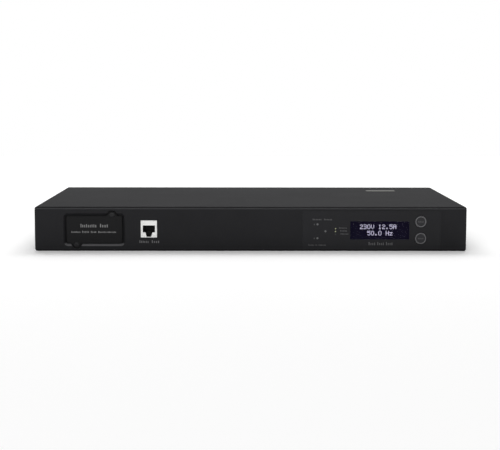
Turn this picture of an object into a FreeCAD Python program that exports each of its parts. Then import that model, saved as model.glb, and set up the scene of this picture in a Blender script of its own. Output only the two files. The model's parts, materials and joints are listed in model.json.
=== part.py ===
import FreeCAD, Part
import math
import os

# A one-unit rack power distribution unit with two mains inlets and an automatic transfer between them.
# Millimetres. X runs to the right as seen from the front, Y from the front to the back, Z up.
# The origin is under the middle of the bounding box, on the plane that the unit stands on.

# Body and sheet metal
body_width = 433.0
body_height = 44.4
body_depth = 240.0
sheet = 1.2
bend_outer = 2.0
fold_gap = 0.15
flange_width = 9.0
corner_slit = 0.5
lid_side_lift = 0.4

# Front bezel, a shallow moulding that clips to the front wall of the tray
bezel_wall = 2.5
bezel_depth = 6.0
bezel_edge = 1.8
bezel_corner = 2.2
bezel_rim = 1.8
lid_setback = 2.2
hook_width = 8.0
hook_arm = 1.5
hook_barb = 2.2
hook_reach = 2.4
hook_from_edge = 14.0
hook_from_jack = 30.0
hook_from_overlay = 25.0
hook_inset_z = 5.0

# Blank cover of the expansion slot
blank_from_left = 59.7
blank_width = 55.5
blank_margin = 8.075
blank_corner = 1.6
blank_gap = 1.1
blank_thick = 2.0
blank_recess = 0.6
blank_bevel = 2.0
lobe_x = 17.8
lobe_rise = 1.65
lobe_base = 10.4
lobe_top = 4.6
lobe_reach = 4.55
lobe_corner = 1.4
blank_boss_radius = 3.1
blank_boss_inset = 1.6

# Machine screws: shank radius, head radius and head height
m3_radius = 1.45
m3_head_radius = 2.5
m3_head_height = 1.6
m3_hole = 1.6
m3_tapped = 1.5
m4_clearance = 2.25
m4_tapped = 1.95
screw_past = 1.5
hidden_sides = 6
shown_sides = 12

# Serial jack
jack_from_left = 114.35
jack_width = 16.1
jack_height = 17.0
jack_length = 21.0
jack_proud = 0.1
jack_fit = 0.2
plug_width = 12.2
plug_height = 7.0
plug_depth = 15.0
plug_above_floor = 5.1
latch_top = 7.1
latch_bottom = 4.4
latch_floor = 0.6
latch_depth = 9.0
contact_count = 8
contact_pitch = 1.02
contact_width = 0.45
contact_thick = 0.3
contact_drop = 2.1

# Control overlay, display and lamps
overlay_from_right = 26.0
overlay_width = 138.8
overlay_margin = 2.525
overlay_thick = 0.25
overlay_proud = 0.05
overlay_corner = 1.0
overlay_fit = 0.1
lens_from_overlay = 8.2
lens_width = 59.3
lens_height = 18.2
lens_flange = 1.8
lens_flange_thick = 1.0
lens_fit = 0.05
display_below_middle = 0.625
frame_border = 3.4
frame_height = 24.6
frame_wall = 0.8
frame_window_margin = 0.5
glass_thick = 2.2
display_board_from_face = 10.7
lamp_from_overlay = -54.0
lamp_pipe = 2.6
lamp_fit = 0.1
lamp_rise = 7.0
lamp_below_middle = 1.725
output_lamp_shift = 8.0
status_from_overlay = -35.9
status_pipe = 1.6
status_pitch = 2.85
status_below_middle = 1.975
status_count = 3

# Keys
key_from_overlay = 49.3
key_above_middle = 8.175
key_below_middle = 8.725
key_radius = 5.6
key_proud = 0.4
key_round = 0.4
key_fit = 0.2
key_collar_flats = 13.0
key_collar = 0.8
key_stem_side = 3.0
key_travel = 0.5
switch_side = 6.2
switch_height = 3.5
plunger_side = 2.6
plunger_proud = 0.6
plunger_fit = 0.08
plunger_inside = 1.2

# Boards
board_thick = 1.6
display_board_margin = 2.5
display_board_rim = 3.7
display_boss_inset = 7.0
display_boss_radius = 2.6
display_boss_bore = 1.1
display_boss_z = 13.0
display_screw_radius = 1.05
display_screw_length = 6.0
display_window_gap = 0.6
interface_top = 13.7
interface_from_left = 11.5
interface_width = 126.0
interface_depth = 116.0
interface_from_wall = 0.8
power_pillar = 6.0
boards_gap = 12.95
power_from_side = 4.0
power_from_front = 32.0
power_from_rear = 52.0
pillar_flats = 5.5
pillar_bore = 1.5
pillar_inset = 6.0

# Parts on the power board
relay_size = (30.0, 17.0, 26.0)
relay_pitch_x = 36.0
relay_pitch_y = 46.0
relay_from_left = 19.0
relay_first_y = 36.0
relay_spare = 4.0
supply_size = (52.0, 28.0, 24.0)
supply_from_right = 70.0
supply_pitch_y = 40.0
supply_first_y = 30.0
sensor_size = (24.0, 12.0, 24.0)
sensor_hole = 4.0
sensor_link = 2.0
sensor_from_right = 136.0
sensor_from_rear = 44.0
capacitor_size = (11.0, 26.0, 20.0)
capacitor_pitch = 15.0
capacitor_from_right = 140.0
capacitor_y = 24.0
capacitor_count = 3
varistor_radius = 7.0
varistor_thick = 4.5
varistor_pitch = 11.0
varistor_from_right = 42.0
varistor_from_rear = 44.0
varistor_count = 3
chip_size = (14.0, 14.0, 1.6)
chip_from_right = 134.0
chip_y = 50.0
chip_pitch = 20.0
chip_count = 2
header_size = (20.0, 6.0, 8.5)
ribbon_width = 16.0
ribbon_thick = 0.9
ribbon_bend = 5.0

# Expansion slot behind the blank cover
card_guide_length = 96.0
card_guide_thick = 5.0
card_guide_height = 10.0
card_groove = 2.2
card_groove_depth = 2.0
card_groove_z = 5.0
card_width = 50.0
card_connector_size = (44.0, 9.0, 14.0)

# Mains sockets on the rear wall
socket_flange = 2.0
socket_fit = 0.3
flange_corner = 1.5
inlet_corner = 2.0
wing_thick = 0.8
wing_length = 3.0
wing_width = 8.0
small_flange = (27.4, 35.0)
small_body = (24.0, 31.0)
small_depth = 22.0
small_well = (20.8, 28.6)
small_well_depth = 17.5
small_core = (16.2, 24.0)
small_chamfer = 4.6
small_slot = (4.6, 2.5)
small_spread = 7.0
small_offset = 2.0
large_flange_width = 31.0
large_flange_margin = 2.2
large_rim = (1.8, 2.0)
large_depth = 25.0
large_wall = 1.5
large_core_gap = 2.2
large_cut = 1.6
large_well_depth = 20.5
large_slot = (2.6, 8.6)
large_spread = 6.5
large_offset = 4.0
inlet_wall = 3.2
inlet_depth = 28.0
blade_size = (2.0, 8.0)
blade_recess = 2.5
blade_tip = 0.6
core_recess = 0.6
slot_depth = 14.0
tab_width = 6.3
tab_thick = 0.8
lead_radius = 1.7
terminal_size = (18.0, 11.0, 25.0)
terminal_from_rear = 54.0
inlet_from_right = 22.0
inlet_pitch = 37.0
inlet_count = 2
large_first = 38.0
large_pitch = 35.0
large_count = 2
small_first = 34.0
small_pitch = 30.0
earth_to_outlet = 22.0
output_block_from_left = 41.55
bus_from_rear = 30.0
bus_height = 5.0
bus_thick = 1.5
bus_overhang = 6.0

# Earth screw on the rear wall
earth_from_left = 22.0
earth_radius = 1.95
earth_head_radius = 4.0
earth_head_height = 2.4
earth_washer_radius = 4.8
earth_washer = 0.8
earth_length = 9.0
earth_nut_flats = 7.0
earth_nut = 3.2

# Sides: rack-ear nuts, lid screws and vents
ear_from_front = 30.0
ear_spacing_y = 32.0
ear_spacing_z = 22.0
nut_flats = 7.0
nut_height = 2.2
nut_shank_flats = 5.6
nut_fit = 0.02
lid_screw_from_front = 70.0
lid_screw_from_rear = 14.0
lid_screw_below_top = 10.4
lid_screw_head = 2.7
lid_screw_length = 5.0
vent_count = 8
vent_pitch = 6.5
vent_width = 2.8
vent_height = 15.0
vent_from_front = 84.0

# Sticker on the lid
sticker_width = 33.0
sticker_depth = 12.0
sticker_thick = 0.15
sticker_from_right = 66.0
sticker_from_front = 191.0
sticker_corner = 1.0

# Places that follow from the sizes above
rear_proud = earth_head_height + earth_washer
front_y = -(body_depth + rear_proud - key_proud) / 2
rear_y = front_y + body_depth
left_x = -body_width / 2
right_x = body_width / 2
lid_front = front_y + lid_setback
bezel_top = body_height - sheet - fold_gap
mid_z = bezel_top / 2
socket_z = body_height / 2
blank_height = bezel_top - 2 * blank_margin
lobe_z = blank_height / 2 + lobe_rise
overlay_height = bezel_top - 2 * overlay_margin
display_z = mid_z - display_below_middle
lamp_z = mid_z - lamp_below_middle
status_z = mid_z - status_below_middle
key_upper_z = mid_z + key_above_middle
key_lower_z = mid_z - key_below_middle
tray_front = front_y + bezel_depth
tray_half = body_width / 2 - sheet - fold_gap
tray_top = bezel_top
wall_inside = tray_front + sheet
blank_x = left_x + blank_from_left
jack_x = left_x + jack_from_left
jack_floor = interface_top
overlay_x = right_x - overlay_from_right - overlay_width / 2
lens_x = overlay_x + lens_from_overlay
keys_x = overlay_x + key_from_overlay
display_board_y = front_y + display_board_from_face
display_board_width = overlay_width - 2 * display_board_margin
display_board_height = frame_height + 2 * display_board_rim
switch_y = display_board_y - switch_height
plunger_y = switch_y - plunger_proud
face_y = rear_y + socket_flange
bus_y = rear_y - bus_from_rear
power_z = sheet + power_pillar
power_top = power_z + board_thick
power_x1 = tray_half - sheet - power_from_side
power_y0 = front_y + power_from_front
power_y1 = rear_y - power_from_rear
interface_x0 = left_x + interface_from_left
interface_x1 = interface_x0 + interface_width
power_x0 = interface_x1 + boards_gap
interface_y0 = wall_inside + interface_from_wall
interface_y1 = interface_y0 + interface_depth
interface_z = interface_top - board_thick
inlet_xs = [right_x - inlet_from_right - i * inlet_pitch for i in range(inlet_count)]
large_xs = [inlet_xs[-1] - large_first - i * large_pitch for i in range(large_count)]
earth_x = left_x + earth_from_left
small_room = large_xs[-1] - small_first - earth_x - earth_to_outlet
small_count = int(small_room / small_pitch) + 1
small_xs = [large_xs[-1] - small_first - i * small_pitch for i in range(small_count)]
large_flange = (large_flange_width, body_height - 2 * large_flange_margin)
large_body = (large_flange[0] - 2 * large_rim[0], large_flange[1] - 2 * large_rim[1])
large_well = (large_body[0] - 2 * large_wall, large_body[1] - 2 * large_wall)
large_core = (large_well[0] - 2 * large_core_gap, large_well[1] - 2 * large_core_gap)
inlet_well = (large_body[0] - 2 * inlet_wall, large_body[1] - 2 * inlet_wall)
capacitor_left = power_x1 - capacitor_from_right - capacitor_size[0] / 2
relay_room = capacitor_left - relay_spare - power_x0 - relay_from_left
relay_count = int((relay_room - relay_size[0]) / relay_pitch_x) + 1
lid_screw_ys = (front_y + lid_screw_from_front, rear_y - lid_screw_from_rear)
lid_screw_z = body_height - lid_screw_below_top
lobes = ((lobe_x, lobe_z), (-lobe_x, -lobe_z))
lamps = (
    (overlay_x + lamp_from_overlay, lamp_z + lamp_rise),
    (overlay_x + lamp_from_overlay, lamp_z - lamp_rise),
    (overlay_x + lamp_from_overlay + output_lamp_shift, lamp_z),
)
status_lamps = [
    (overlay_x + status_from_overlay, status_z + (i - (status_count - 1) / 2) * status_pitch)
    for i in range(status_count)
]
display_boss_xs = (
    overlay_x - overlay_width / 2 + display_boss_inset,
    overlay_x + overlay_width / 2 - display_boss_inset,
)
display_bosses = [(x, mid_z + s * display_boss_z) for x in display_boss_xs for s in (-1, 1)]
hook_xs = (
    left_x + hook_from_edge,
    jack_x + hook_from_jack,
    overlay_x - overlay_width / 2 - hook_from_overlay,
    right_x - hook_from_edge,
)
ear_ys = [front_y + ear_from_front + s * ear_spacing_y / 2 for s in (-1, 1)]
ear_zs = [body_height / 2 + s * ear_spacing_z / 2 for s in (-1, 1)]
vent_ys = [front_y + vent_from_front + i * vent_pitch for i in range(vent_count)]


# Basic shapes
def block(x0, x1, y0, y1, z0, z1):
    return Part.makeBox(x1 - x0, y1 - y0, z1 - z0, FreeCAD.Vector(x0, y0, z0))


def block_at(x, y, z, size):
    """A block of (X, Y, Z) size that stands on z, centred on x and y."""
    return block(x - size[0] / 2, x + size[0] / 2, y - size[1] / 2, y + size[1] / 2, z, z + size[2])


def place(plane, a, b, c):
    """The point with in-plane coordinates a and b, and c along the plane's normal axis."""
    return {
        "xz": FreeCAD.Vector(a, c, b),
        "yz": FreeCAD.Vector(c, a, b),
        "xy": FreeCAD.Vector(a, b, c),
    }[plane]


def rounded_wire(points, radii, plane, level):
    """A closed outline through the points, with an arc of the given radius at each corner."""
    count = len(points)
    corners = []
    for i in range(count):
        corner = FreeCAD.Vector(points[i][0], points[i][1], 0)
        before = FreeCAD.Vector(points[i - 1][0], points[i - 1][1], 0) - corner
        after = FreeCAD.Vector(points[(i + 1) % count][0], points[(i + 1) % count][1], 0) - corner
        before.normalize()
        after.normalize()
        if radii[i] <= 0:
            corners.append((corner, None, corner))
            continue
        half = before.getAngle(after) / 2
        middle = before + after
        middle.normalize()
        reach = radii[i] / math.tan(half)
        centre = corner + middle * (radii[i] / math.sin(half))
        corners.append((corner + before * reach, centre - middle * radii[i], corner + after * reach))
    edges = []
    for i in range(count):
        start, on_arc, end = [p and place(plane, p.x, p.y, level) for p in corners[i]]
        following = corners[(i + 1) % count][0]
        following = place(plane, following.x, following.y, level)
        if on_arc:
            edges.append(Part.Arc(start, on_arc, end).toShape())
        if end.distanceToPoint(following) > 1e-7:
            edges.append(Part.LineSegment(end, following).toShape())
    return Part.Wire(edges)


def prism(points, radii, plane, start, end):
    """The rounded outline, swept along the plane's normal axis from start to end."""
    if not hasattr(radii, "__len__"):
        radii = [radii] * len(points)
    face = Part.Face(rounded_wire(points, radii, plane, start))
    return face.extrude(place(plane, 0, 0, end - start))


def rectangle(a, b, width, height):
    return [
        (a - width / 2, b - height / 2),
        (a + width / 2, b - height / 2),
        (a + width / 2, b + height / 2),
        (a - width / 2, b + height / 2),
    ]


def slab(x, z, width, height, radius, y0, y1):
    """A plate that faces the front, with rounded corners, from y0 to y1."""
    return prism(rectangle(x, z, width, height), radius, "xz", y0, y1)


def rod(axis, a, b, radius, start, end):
    """A round bar along X, Y or Z, with a and b as its other two coordinates in that order."""
    plane = {"x": "yz", "y": "xz", "z": "xy"}[axis]
    return Part.makeCylinder(radius, end - start, place(plane, a, b, start), place(plane, 0, 0, 1))


def ring(a, b, radius, sides):
    turns = [(i + 0.5) * 2 * math.pi / sides for i in range(sides)]
    return [(a + radius * math.cos(t), b + radius * math.sin(t)) for t in turns]


def sided_rod(axis, a, b, radius, start, end, sides=hidden_sides):
    """A bar with a few flat sides in place of a round one, for small fasteners and their holes."""
    plane = {"x": "yz", "y": "xz", "z": "xy"}[axis]
    return prism(ring(a, b, radius, sides), 0, plane, start, end)


def screw_head(plane, a, b, start, end):
    """The tapered head of a screw between two ends, each given as (radius, level)."""
    outlines = [
        rounded_wire(ring(a, b, radius, shown_sides), [0] * shown_sides, plane, level)
        for radius, level in (start, end)
    ]
    return Part.makeLoft(outlines, True, True)


def turned_y(profile, x, z):
    """A solid of revolution about a Y axis. The profile is a list of (radius, y) pairs."""
    points = [FreeCAD.Vector(x + r, y, z) for r, y in profile]
    wire = Part.makePolygon(points + [points[0]])
    return Part.Face(wire).revolve(FreeCAD.Vector(x, 0, z), FreeCAD.Vector(0, 1, 0), 360)


def hexagon(axis, a, b, flats, start, end):
    plane = {"x": "yz", "y": "xz", "z": "xy"}[axis]
    radius = flats / math.sqrt(3)
    turns = [i * math.pi / 3 for i in range(6)]
    points = [(a + radius * math.cos(t), b + radius * math.sin(t)) for t in turns]
    return prism(points, 0, plane, start, end)


def chamfered(x, z, size, cut):
    """Corner points of a rectangle with all four corners cut off."""
    w, h = size[0] / 2, size[1] / 2
    return [
        (x - w + cut, z - h),
        (x + w - cut, z - h),
        (x + w, z - h + cut),
        (x + w, z + h - cut),
        (x + w - cut, z + h),
        (x - w + cut, z + h),
        (x - w, z + h - cut),
        (x - w, z - h + cut),
    ]


def cut_corners(x, z, size, cut):
    """Corner points of a rectangle whose two corners on the +X side are cut off."""
    w, h = size[0] / 2, size[1] / 2
    return [
        (x - w, z - h),
        (x + w - cut, z - h),
        (x + w, z - h + cut),
        (x + w, z + h - cut),
        (x + w - cut, z + h),
        (x - w, z + h),
    ]


def join(first, others):
    return first.multiFuse(list(others)).removeSplitter() if others else first


def take(first, others):
    return first.cut(Part.makeCompound(list(others))) if others else first


def both_sides(make):
    """What make builds for the right side, and its mirror image for the left."""
    right = make()
    return [right, right.mirror(FreeCAD.Vector(0, 0, 0), FreeCAD.Vector(1, 0, 0))]


# Chassis tray, folded from one sheet
def trough(half, y0, y1, floor, top, radius):
    """A box that is round along its four bottom edges."""
    across = prism(
        [(-half, floor), (half, floor), (half, top), (-half, top)], [radius, radius, 0, 0], "xz", y0, y1
    )
    along = prism([(y0, floor), (y1, floor), (y1, top), (y0, top)], [radius, radius, 0, 0], "yz", -half, half)
    return across.common(along)


def side_vents(outside, depth):
    z0 = body_height / 2 - vent_height / 2
    return Part.makeCompound(
        [
            block(outside - depth, outside + 1, y - vent_width / 2, y + vent_width / 2, z0, z0 + vent_height)
            for y in vent_ys
        ]
    )


def chassis_tray():
    inner_bend = bend_outer - sheet
    tray = trough(tray_half, tray_front, rear_y, 0, tray_top, bend_outer)
    hollow = trough(
        tray_half - sheet, wall_inside, rear_y - sheet, sheet, tray_top + 1, inner_bend
    )
    tray = tray.cut(hollow)
    flange_half = tray_half - sheet - corner_slit
    flanges = [
        block(-flange_half, flange_half, y, y + flange_width, tray_top - sheet, tray_top)
        for y in (wall_inside, rear_y - sheet - flange_width)
    ]
    tray = join(tray, flanges)
    cuts = []
    for y in (wall_inside, rear_y - sheet - corner_slit):
        cuts += both_sides(
            lambda: block(tray_half - sheet - 1, tray_half + 1, y, y + corner_slit, bend_outer, tray_top + 1)
        )
    for x in hook_xs:
        for z in (hook_inset_z, bezel_top - hook_inset_z):
            cuts.append(
                block(
                    x - hook_width / 2 - 0.5,
                    x + hook_width / 2 + 0.5,
                    tray_front - 1,
                    wall_inside + 1,
                    z - hook_arm / 2 - 0.4,
                    z + hook_arm / 2 + 0.4,
                )
            )
    cuts.append(
        slab(
            blank_x,
            mid_z,
            card_width,
            blank_height - 4 * blank_boss_inset,
            0,
            tray_front - 1,
            wall_inside + 1,
        )
    )
    for dx, dz in lobes:
        cuts.append(sided_rod("y", blank_x + dx, mid_z + dz, m3_tapped, tray_front - 1, wall_inside + 1))
    cuts.append(
        block(
            jack_x - jack_width / 2 - jack_fit,
            jack_x + jack_width / 2 + jack_fit,
            tray_front - 1,
            wall_inside + 1,
            jack_floor - jack_fit,
            jack_floor + jack_height + jack_fit,
        )
    )
    cuts.append(
        slab(
            overlay_x,
            mid_z,
            display_board_width + 2 * display_window_gap,
            display_board_height + 2 * display_window_gap,
            0,
            tray_front - 1,
            wall_inside + 1,
        )
    )
    for x in small_xs:
        cuts.append(block(*socket_hole(x, small_body)))
    for x in large_xs + inlet_xs:
        cuts.append(block(*socket_hole(x, large_body)))
    earth_hole = m4_tapped + fold_gap
    cuts.append(sided_rod("y", earth_x, socket_z, earth_hole, rear_y - sheet - 1, rear_y + 1))
    cuts += both_sides(lambda: block(*below_lid_bend()))
    cuts += both_sides(lambda: nut_seats())
    cuts += both_sides(lambda: lid_screw_taps())
    cuts += both_sides(lambda: side_vents(tray_half, 2 * sheet))
    return take(tray, cuts)


def nut_seats():
    """Six-sided holes in the tray's right-hand side that keep the clinch nuts from turning."""
    x0, x1 = tray_half - 2 * sheet, tray_half + 1
    return Part.makeCompound(
        [hexagon("x", y, z, nut_shank_flats + 2 * nut_fit, x0, x1) for y in ear_ys for z in ear_zs]
    )


def lid_screw_taps():
    x0, x1 = tray_half - 2 * sheet, tray_half + 1
    return Part.makeCompound(
        [sided_rod("x", y, lid_screw_z, m3_tapped, x0, x1) for y in lid_screw_ys]
    )


def below_lid_bend():
    """Corners of the strip that the tray's right-hand top edge leaves free for the bend of the lid."""
    top = tray_top - (bend_outer - sheet)
    return tray_half - sheet, tray_half + 1, tray_front - 1, rear_y + 1, top, tray_top + 1


def socket_hole(x, body):
    """Corners of the rear wall's cut-out for a socket of that body size."""
    w, h = body[0] / 2 + socket_fit, body[1] / 2 + socket_fit
    return x - w, x + w, rear_y - sheet - 1, rear_y + 1, socket_z - h, socket_z + h


# Lid: one sheet that wraps the top and both sides
def top_cover():
    w, s = body_width / 2, sheet
    inner = bend_outer - sheet
    points = [
        (-w, lid_side_lift),
        (-w, body_height),
        (w, body_height),
        (w, lid_side_lift),
        (w - s, lid_side_lift),
        (w - s, body_height - s),
        (s - w, body_height - s),
        (s - w, lid_side_lift),
    ]
    lid = prism(points, [0, bend_outer, bend_outer, 0, 0, inner, inner, 0], "xz", lid_front, rear_y)
    cuts = both_sides(
        lambda: block(w - 2 * s, w + 1, lid_front - 1, tray_front, -1, body_height - bend_outer)
    )
    cuts += both_sides(
        lambda: Part.makeCompound(
            [rod("x", y, z, m4_clearance, w - 2 * sheet, w + 1) for y in ear_ys for z in ear_zs]
        )
    )
    cuts += both_sides(lambda: side_vents(w, 2 * sheet))
    cuts += both_sides(
        lambda: Part.makeCompound(
            [
                lid_screw_cone(y, lid_screw_head + fold_gap, m3_radius + fold_gap)
                for y in lid_screw_ys
            ]
        )
    )
    return take(lid, cuts)


def lid_screw_cone(y, head, neck):
    """The countersink of a lid screw on the right-hand side."""
    return screw_head("yz", y, lid_screw_z, (neck, right_x - sheet), (head, right_x))


def lid_screws():
    def one_side():
        screws = []
        for y in lid_screw_ys:
            head = lid_screw_cone(y, lid_screw_head, m3_radius)
            tip = right_x - lid_screw_length
            shank = sided_rod("x", y, lid_screw_z, m3_radius, tip, right_x - sheet)
            screws.append(join(head, [shank]))
        return Part.makeCompound(screws)

    return both_sides(one_side)


def ear_nuts():
    """Clinch nuts for the rack ears: a flange inside each side wall of the tray and a shank through it."""

    def one_side():
        inside = tray_half - sheet
        nuts = []
        for y in ear_ys:
            for z in ear_zs:
                flange = hexagon("x", y, z, nut_flats, inside - nut_height, inside)
                nut = join(flange, [hexagon("x", y, z, nut_shank_flats, inside, tray_half)])
                nuts.append(nut.cut(sided_rod("x", y, z, m4_tapped, inside - nut_height - 1, tray_half + 1)))
        return Part.makeCompound(nuts)

    return both_sides(one_side)


# Front bezel
def blank_prism(grow, y0, y1):
    """The outline of the blank cover, grown by a margin, with its two lobes."""
    plate = slab(
        blank_x, mid_z, blank_width + 2 * grow, blank_height + 2 * grow, blank_corner + grow / 2, y0, y1
    )
    parts = []
    for dx, dz in lobes:
        side = math.copysign(1, dz)
        base = mid_z + side * (blank_height / 2 - 2)
        edge = mid_z + side * (blank_height / 2)
        top = mid_z + side * (blank_height / 2 + lobe_reach + grow)
        x = blank_x + dx
        points = [
            (x - lobe_base / 2 - grow, base),
            (x - lobe_base / 2 - grow, edge + side * grow / 2),
            (x - lobe_top / 2 - grow / 2, top),
            (x + lobe_top / 2 + grow / 2, top),
            (x + lobe_base / 2 + grow, edge + side * grow / 2),
            (x + lobe_base / 2 + grow, base),
        ]
        parts.append(prism(points, [0, 0, lobe_corner, lobe_corner, 0, 0], "xz", y0, y1))
    return join(plate, parts)


def front_bezel():
    face_depth = lid_setback - 0.1
    face = prism(
        rectangle(0, bezel_top / 2, body_width, bezel_top), bezel_corner, "xz", front_y, front_y + face_depth
    )
    front_edges = [e for e in face.Edges if all(abs(v.Y - front_y) < 1e-6 for v in e.Vertexes)]
    face = face.makeFillet(bezel_edge, front_edges)
    step_half = body_width / 2 - sheet - fold_gap
    step_z = body_height - bend_outer - fold_gap
    w = body_width / 2
    rim = prism(
        [
            (-w, 0),
            (w, 0),
            (w, step_z),
            (step_half, step_z),
            (step_half, bezel_top),
            (-step_half, bezel_top),
            (-step_half, step_z),
            (-w, step_z),
        ],
        [bezel_corner, bezel_corner, 0, 0, bend_outer - sheet, bend_outer - sheet, 0, 0],
        "xz",
        front_y + face_depth,
        tray_front,
    )
    inner_half = step_half - bezel_rim
    hollow = block(
        -inner_half, inner_half, front_y + bezel_wall, tray_front + 1, bezel_rim, bezel_top - bezel_rim
    )
    shell = join(face, [rim]).cut(hollow)
    additions = [bezel_hook(x, top) for x in hook_xs for top in (False, True)]
    additions += [
        sided_rod("y", x, z, display_boss_radius, front_y + bezel_wall - 0.5, display_board_y)
        for x, z in display_bosses
    ]
    shell = join(shell, additions)
    through = (front_y - 1, front_y + bezel_wall + 1)
    cuts = [
        blank_prism(blank_gap, *through),
        blank_bevel_cut(),
        block(
            jack_x - jack_width / 2 - jack_fit,
            jack_x + jack_width / 2 + jack_fit,
            *through,
            jack_floor - jack_fit,
            jack_floor + jack_height + jack_fit,
        ),
        slab(
            overlay_x,
            mid_z,
            overlay_width + 2 * overlay_fit,
            overlay_height + 2 * overlay_fit,
            overlay_corner,
            front_y - 1,
            front_y + overlay_thick - overlay_proud,
        ),
        slab(lens_x, display_z, lens_width + 2 * lens_fit, lens_height + 2 * lens_fit, 0, *through),
    ]
    cuts += key_holes(*through)
    cuts += [slab(x, z, lamp_pipe + 2 * lamp_fit, lamp_pipe + 2 * lamp_fit, 0, *through) for x, z in lamps]
    cuts.append(status_comb(lamp_fit, *through))
    cuts += [
        sided_rod("y", x, z, display_boss_bore, front_y + bezel_wall + 1, display_board_y + 1)
        for x, z in display_bosses
    ]
    return take(shell, cuts)


def key_holes(y0, y1):
    return [rod("y", keys_x, z, key_radius + key_fit, y0, y1) for z in (key_upper_z, key_lower_z)]


def status_comb(grow, y0, y1):
    """The outline of the three status light pipes side by side, grown by a margin."""
    x = status_lamps[0][0]
    height = (status_count - 1) * status_pitch + status_pipe
    return slab(x, status_z, status_pipe + 2 * grow, height + 2 * grow, 0, y0, y1)


def blank_bevel_cut():
    """The sloping lip round the blank cover: a shallow frustum that narrows towards the back."""
    wide = blank_gap + blank_bevel
    outer = rounded_wire(
        rectangle(blank_x, mid_z, blank_width + 2 * wide, blank_height + 2 * wide),
        [blank_corner + wide] * 4,
        "xz",
        front_y,
    )
    inner = rounded_wire(
        rectangle(blank_x, mid_z, blank_width + 2 * blank_gap, blank_height + 2 * blank_gap),
        [blank_corner + blank_gap / 2] * 4,
        "xz",
        front_y + blank_bevel,
    )
    return Part.makeLoft([outer, inner], True, True)


def bezel_hook(x, top):
    """A snap hook that reaches through a slot in the tray's front wall and grips behind it."""
    side = 1 if top else -1
    z = bezel_top - hook_inset_z if top else hook_inset_z
    outer = z + side * hook_arm / 2
    inner = z - side * hook_arm / 2
    tip = outer + side * (hook_barb - hook_arm / 2)
    back = wall_inside + fold_gap
    points = [
        (front_y + bezel_wall - 0.5, inner),
        (front_y + bezel_wall - 0.5, outer),
        (back, outer),
        (back, tip),
        (back + hook_reach, outer),
        (back + hook_reach, inner),
    ]
    return prism(points, 0, "yz", x - hook_width / 2, x + hook_width / 2)


def blank_cover():
    y0 = front_y + blank_recess
    plate = blank_prism(0, y0, y0 + blank_thick)
    rim_outside = slab(
        blank_x,
        mid_z,
        blank_width - 2 * blank_boss_inset,
        blank_height - 2 * blank_boss_inset,
        0,
        y0 + blank_thick,
        tray_front,
    )
    rim_inside = slab(
        blank_x,
        mid_z,
        blank_width - 4 * blank_boss_inset,
        blank_height - 4 * blank_boss_inset,
        0,
        y0 + blank_thick,
        tray_front,
    )
    bosses = [
        sided_rod("y", blank_x + dx, mid_z + dz, blank_boss_radius, y0 + blank_thick - 0.5, tray_front)
        for dx, dz in lobes
    ]
    body = join(plate, [rim_outside.cut(rim_inside), *bosses])
    drills = []
    for dx, dz in lobes:
        x, z = blank_x + dx, mid_z + dz
        drills.append(sided_rod("y", x, z, m3_hole, y0 - 1, tray_front + 1))
        seat = front_y + m3_head_height
        drills.append(sided_rod("y", x, z, m3_head_radius + fold_gap, y0 - 1, seat, shown_sides))
    return take(body, drills)


def pan_screw(x, z, seat, length, shank, head_radius, head_height):
    """A pan-head screw along Y. Its head is in front of seat and its shank runs back from there."""
    head = screw_head("xz", x, z, (head_radius * 0.8, seat - head_height), (head_radius, seat))
    return join(head, [sided_rod("y", x, z, shank, seat - head_height / 2, seat + length)])


def blank_cover_screws():
    seat = front_y + m3_head_height
    length = wall_inside + screw_past - seat
    return [
        pan_screw(blank_x + dx, mid_z + dz, seat, length, m3_radius, m3_head_radius, m3_head_height)
        for dx, dz in lobes
    ]


# Control overlay, lens and display module
def control_overlay():
    y0 = front_y - overlay_proud
    sheet_part = slab(overlay_x, mid_z, overlay_width, overlay_height, overlay_corner, y0, y0 + overlay_thick)
    through = (y0 - 1, y0 + overlay_thick + 1)
    window = slab(lens_x, display_z, lens_width + 2 * lens_fit, lens_height + 2 * lens_fit, 0, *through)
    return take(sheet_part, [window, *key_holes(*through)])


def display_lens():
    back = front_y + bezel_wall
    window = slab(lens_x, display_z, lens_width, lens_height, 0, front_y - overlay_proud, back)
    flange = slab(
        lens_x,
        display_z,
        lens_width + 2 * lens_flange,
        lens_height + 2 * lens_flange,
        0,
        back,
        back + lens_flange_thick,
    )
    return join(window, [flange])


def display_frame():
    y0 = front_y + bezel_wall + lens_flange_thick + 0.1
    width = lens_width + 2 * frame_border
    outside = slab(lens_x, display_z, width, frame_height, 0, y0, display_board_y)
    inside = slab(
        lens_x,
        display_z,
        width - 2 * frame_wall,
        frame_height - 2 * frame_wall,
        0,
        y0 + frame_wall,
        display_board_y + 1,
    )
    window = slab(
        lens_x,
        display_z,
        lens_width + 2 * frame_window_margin,
        lens_height + 2 * frame_window_margin,
        0,
        y0 - 1,
        y0 + 2 * frame_wall,
    )
    return outside.cut(inside).cut(window)


def display_stack(y0, y1):
    """A layer that fills the display frame from y0 to y1."""
    return slab(
        lens_x,
        display_z,
        lens_width + 2 * frame_border - 2 * frame_wall - fold_gap,
        frame_height - 2 * frame_wall - fold_gap,
        0,
        y0,
        y1,
    )


def display_glass():
    y0 = front_y + bezel_wall + lens_flange_thick + 0.1 + frame_wall
    return display_stack(y0, y0 + glass_thick)


def display_backlight():
    y0 = front_y + bezel_wall + lens_flange_thick + 0.1 + frame_wall + glass_thick
    return display_stack(y0, display_board_y)


def display_board():
    board = slab(
        overlay_x,
        mid_z,
        display_board_width,
        display_board_height,
        0,
        display_board_y,
        display_board_y + board_thick,
    )
    holes = [
        sided_rod("y", x, z, display_boss_bore, display_board_y - 1, display_board_y + board_thick + 1)
        for x, z in display_bosses
    ]
    return take(board, holes)


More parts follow.
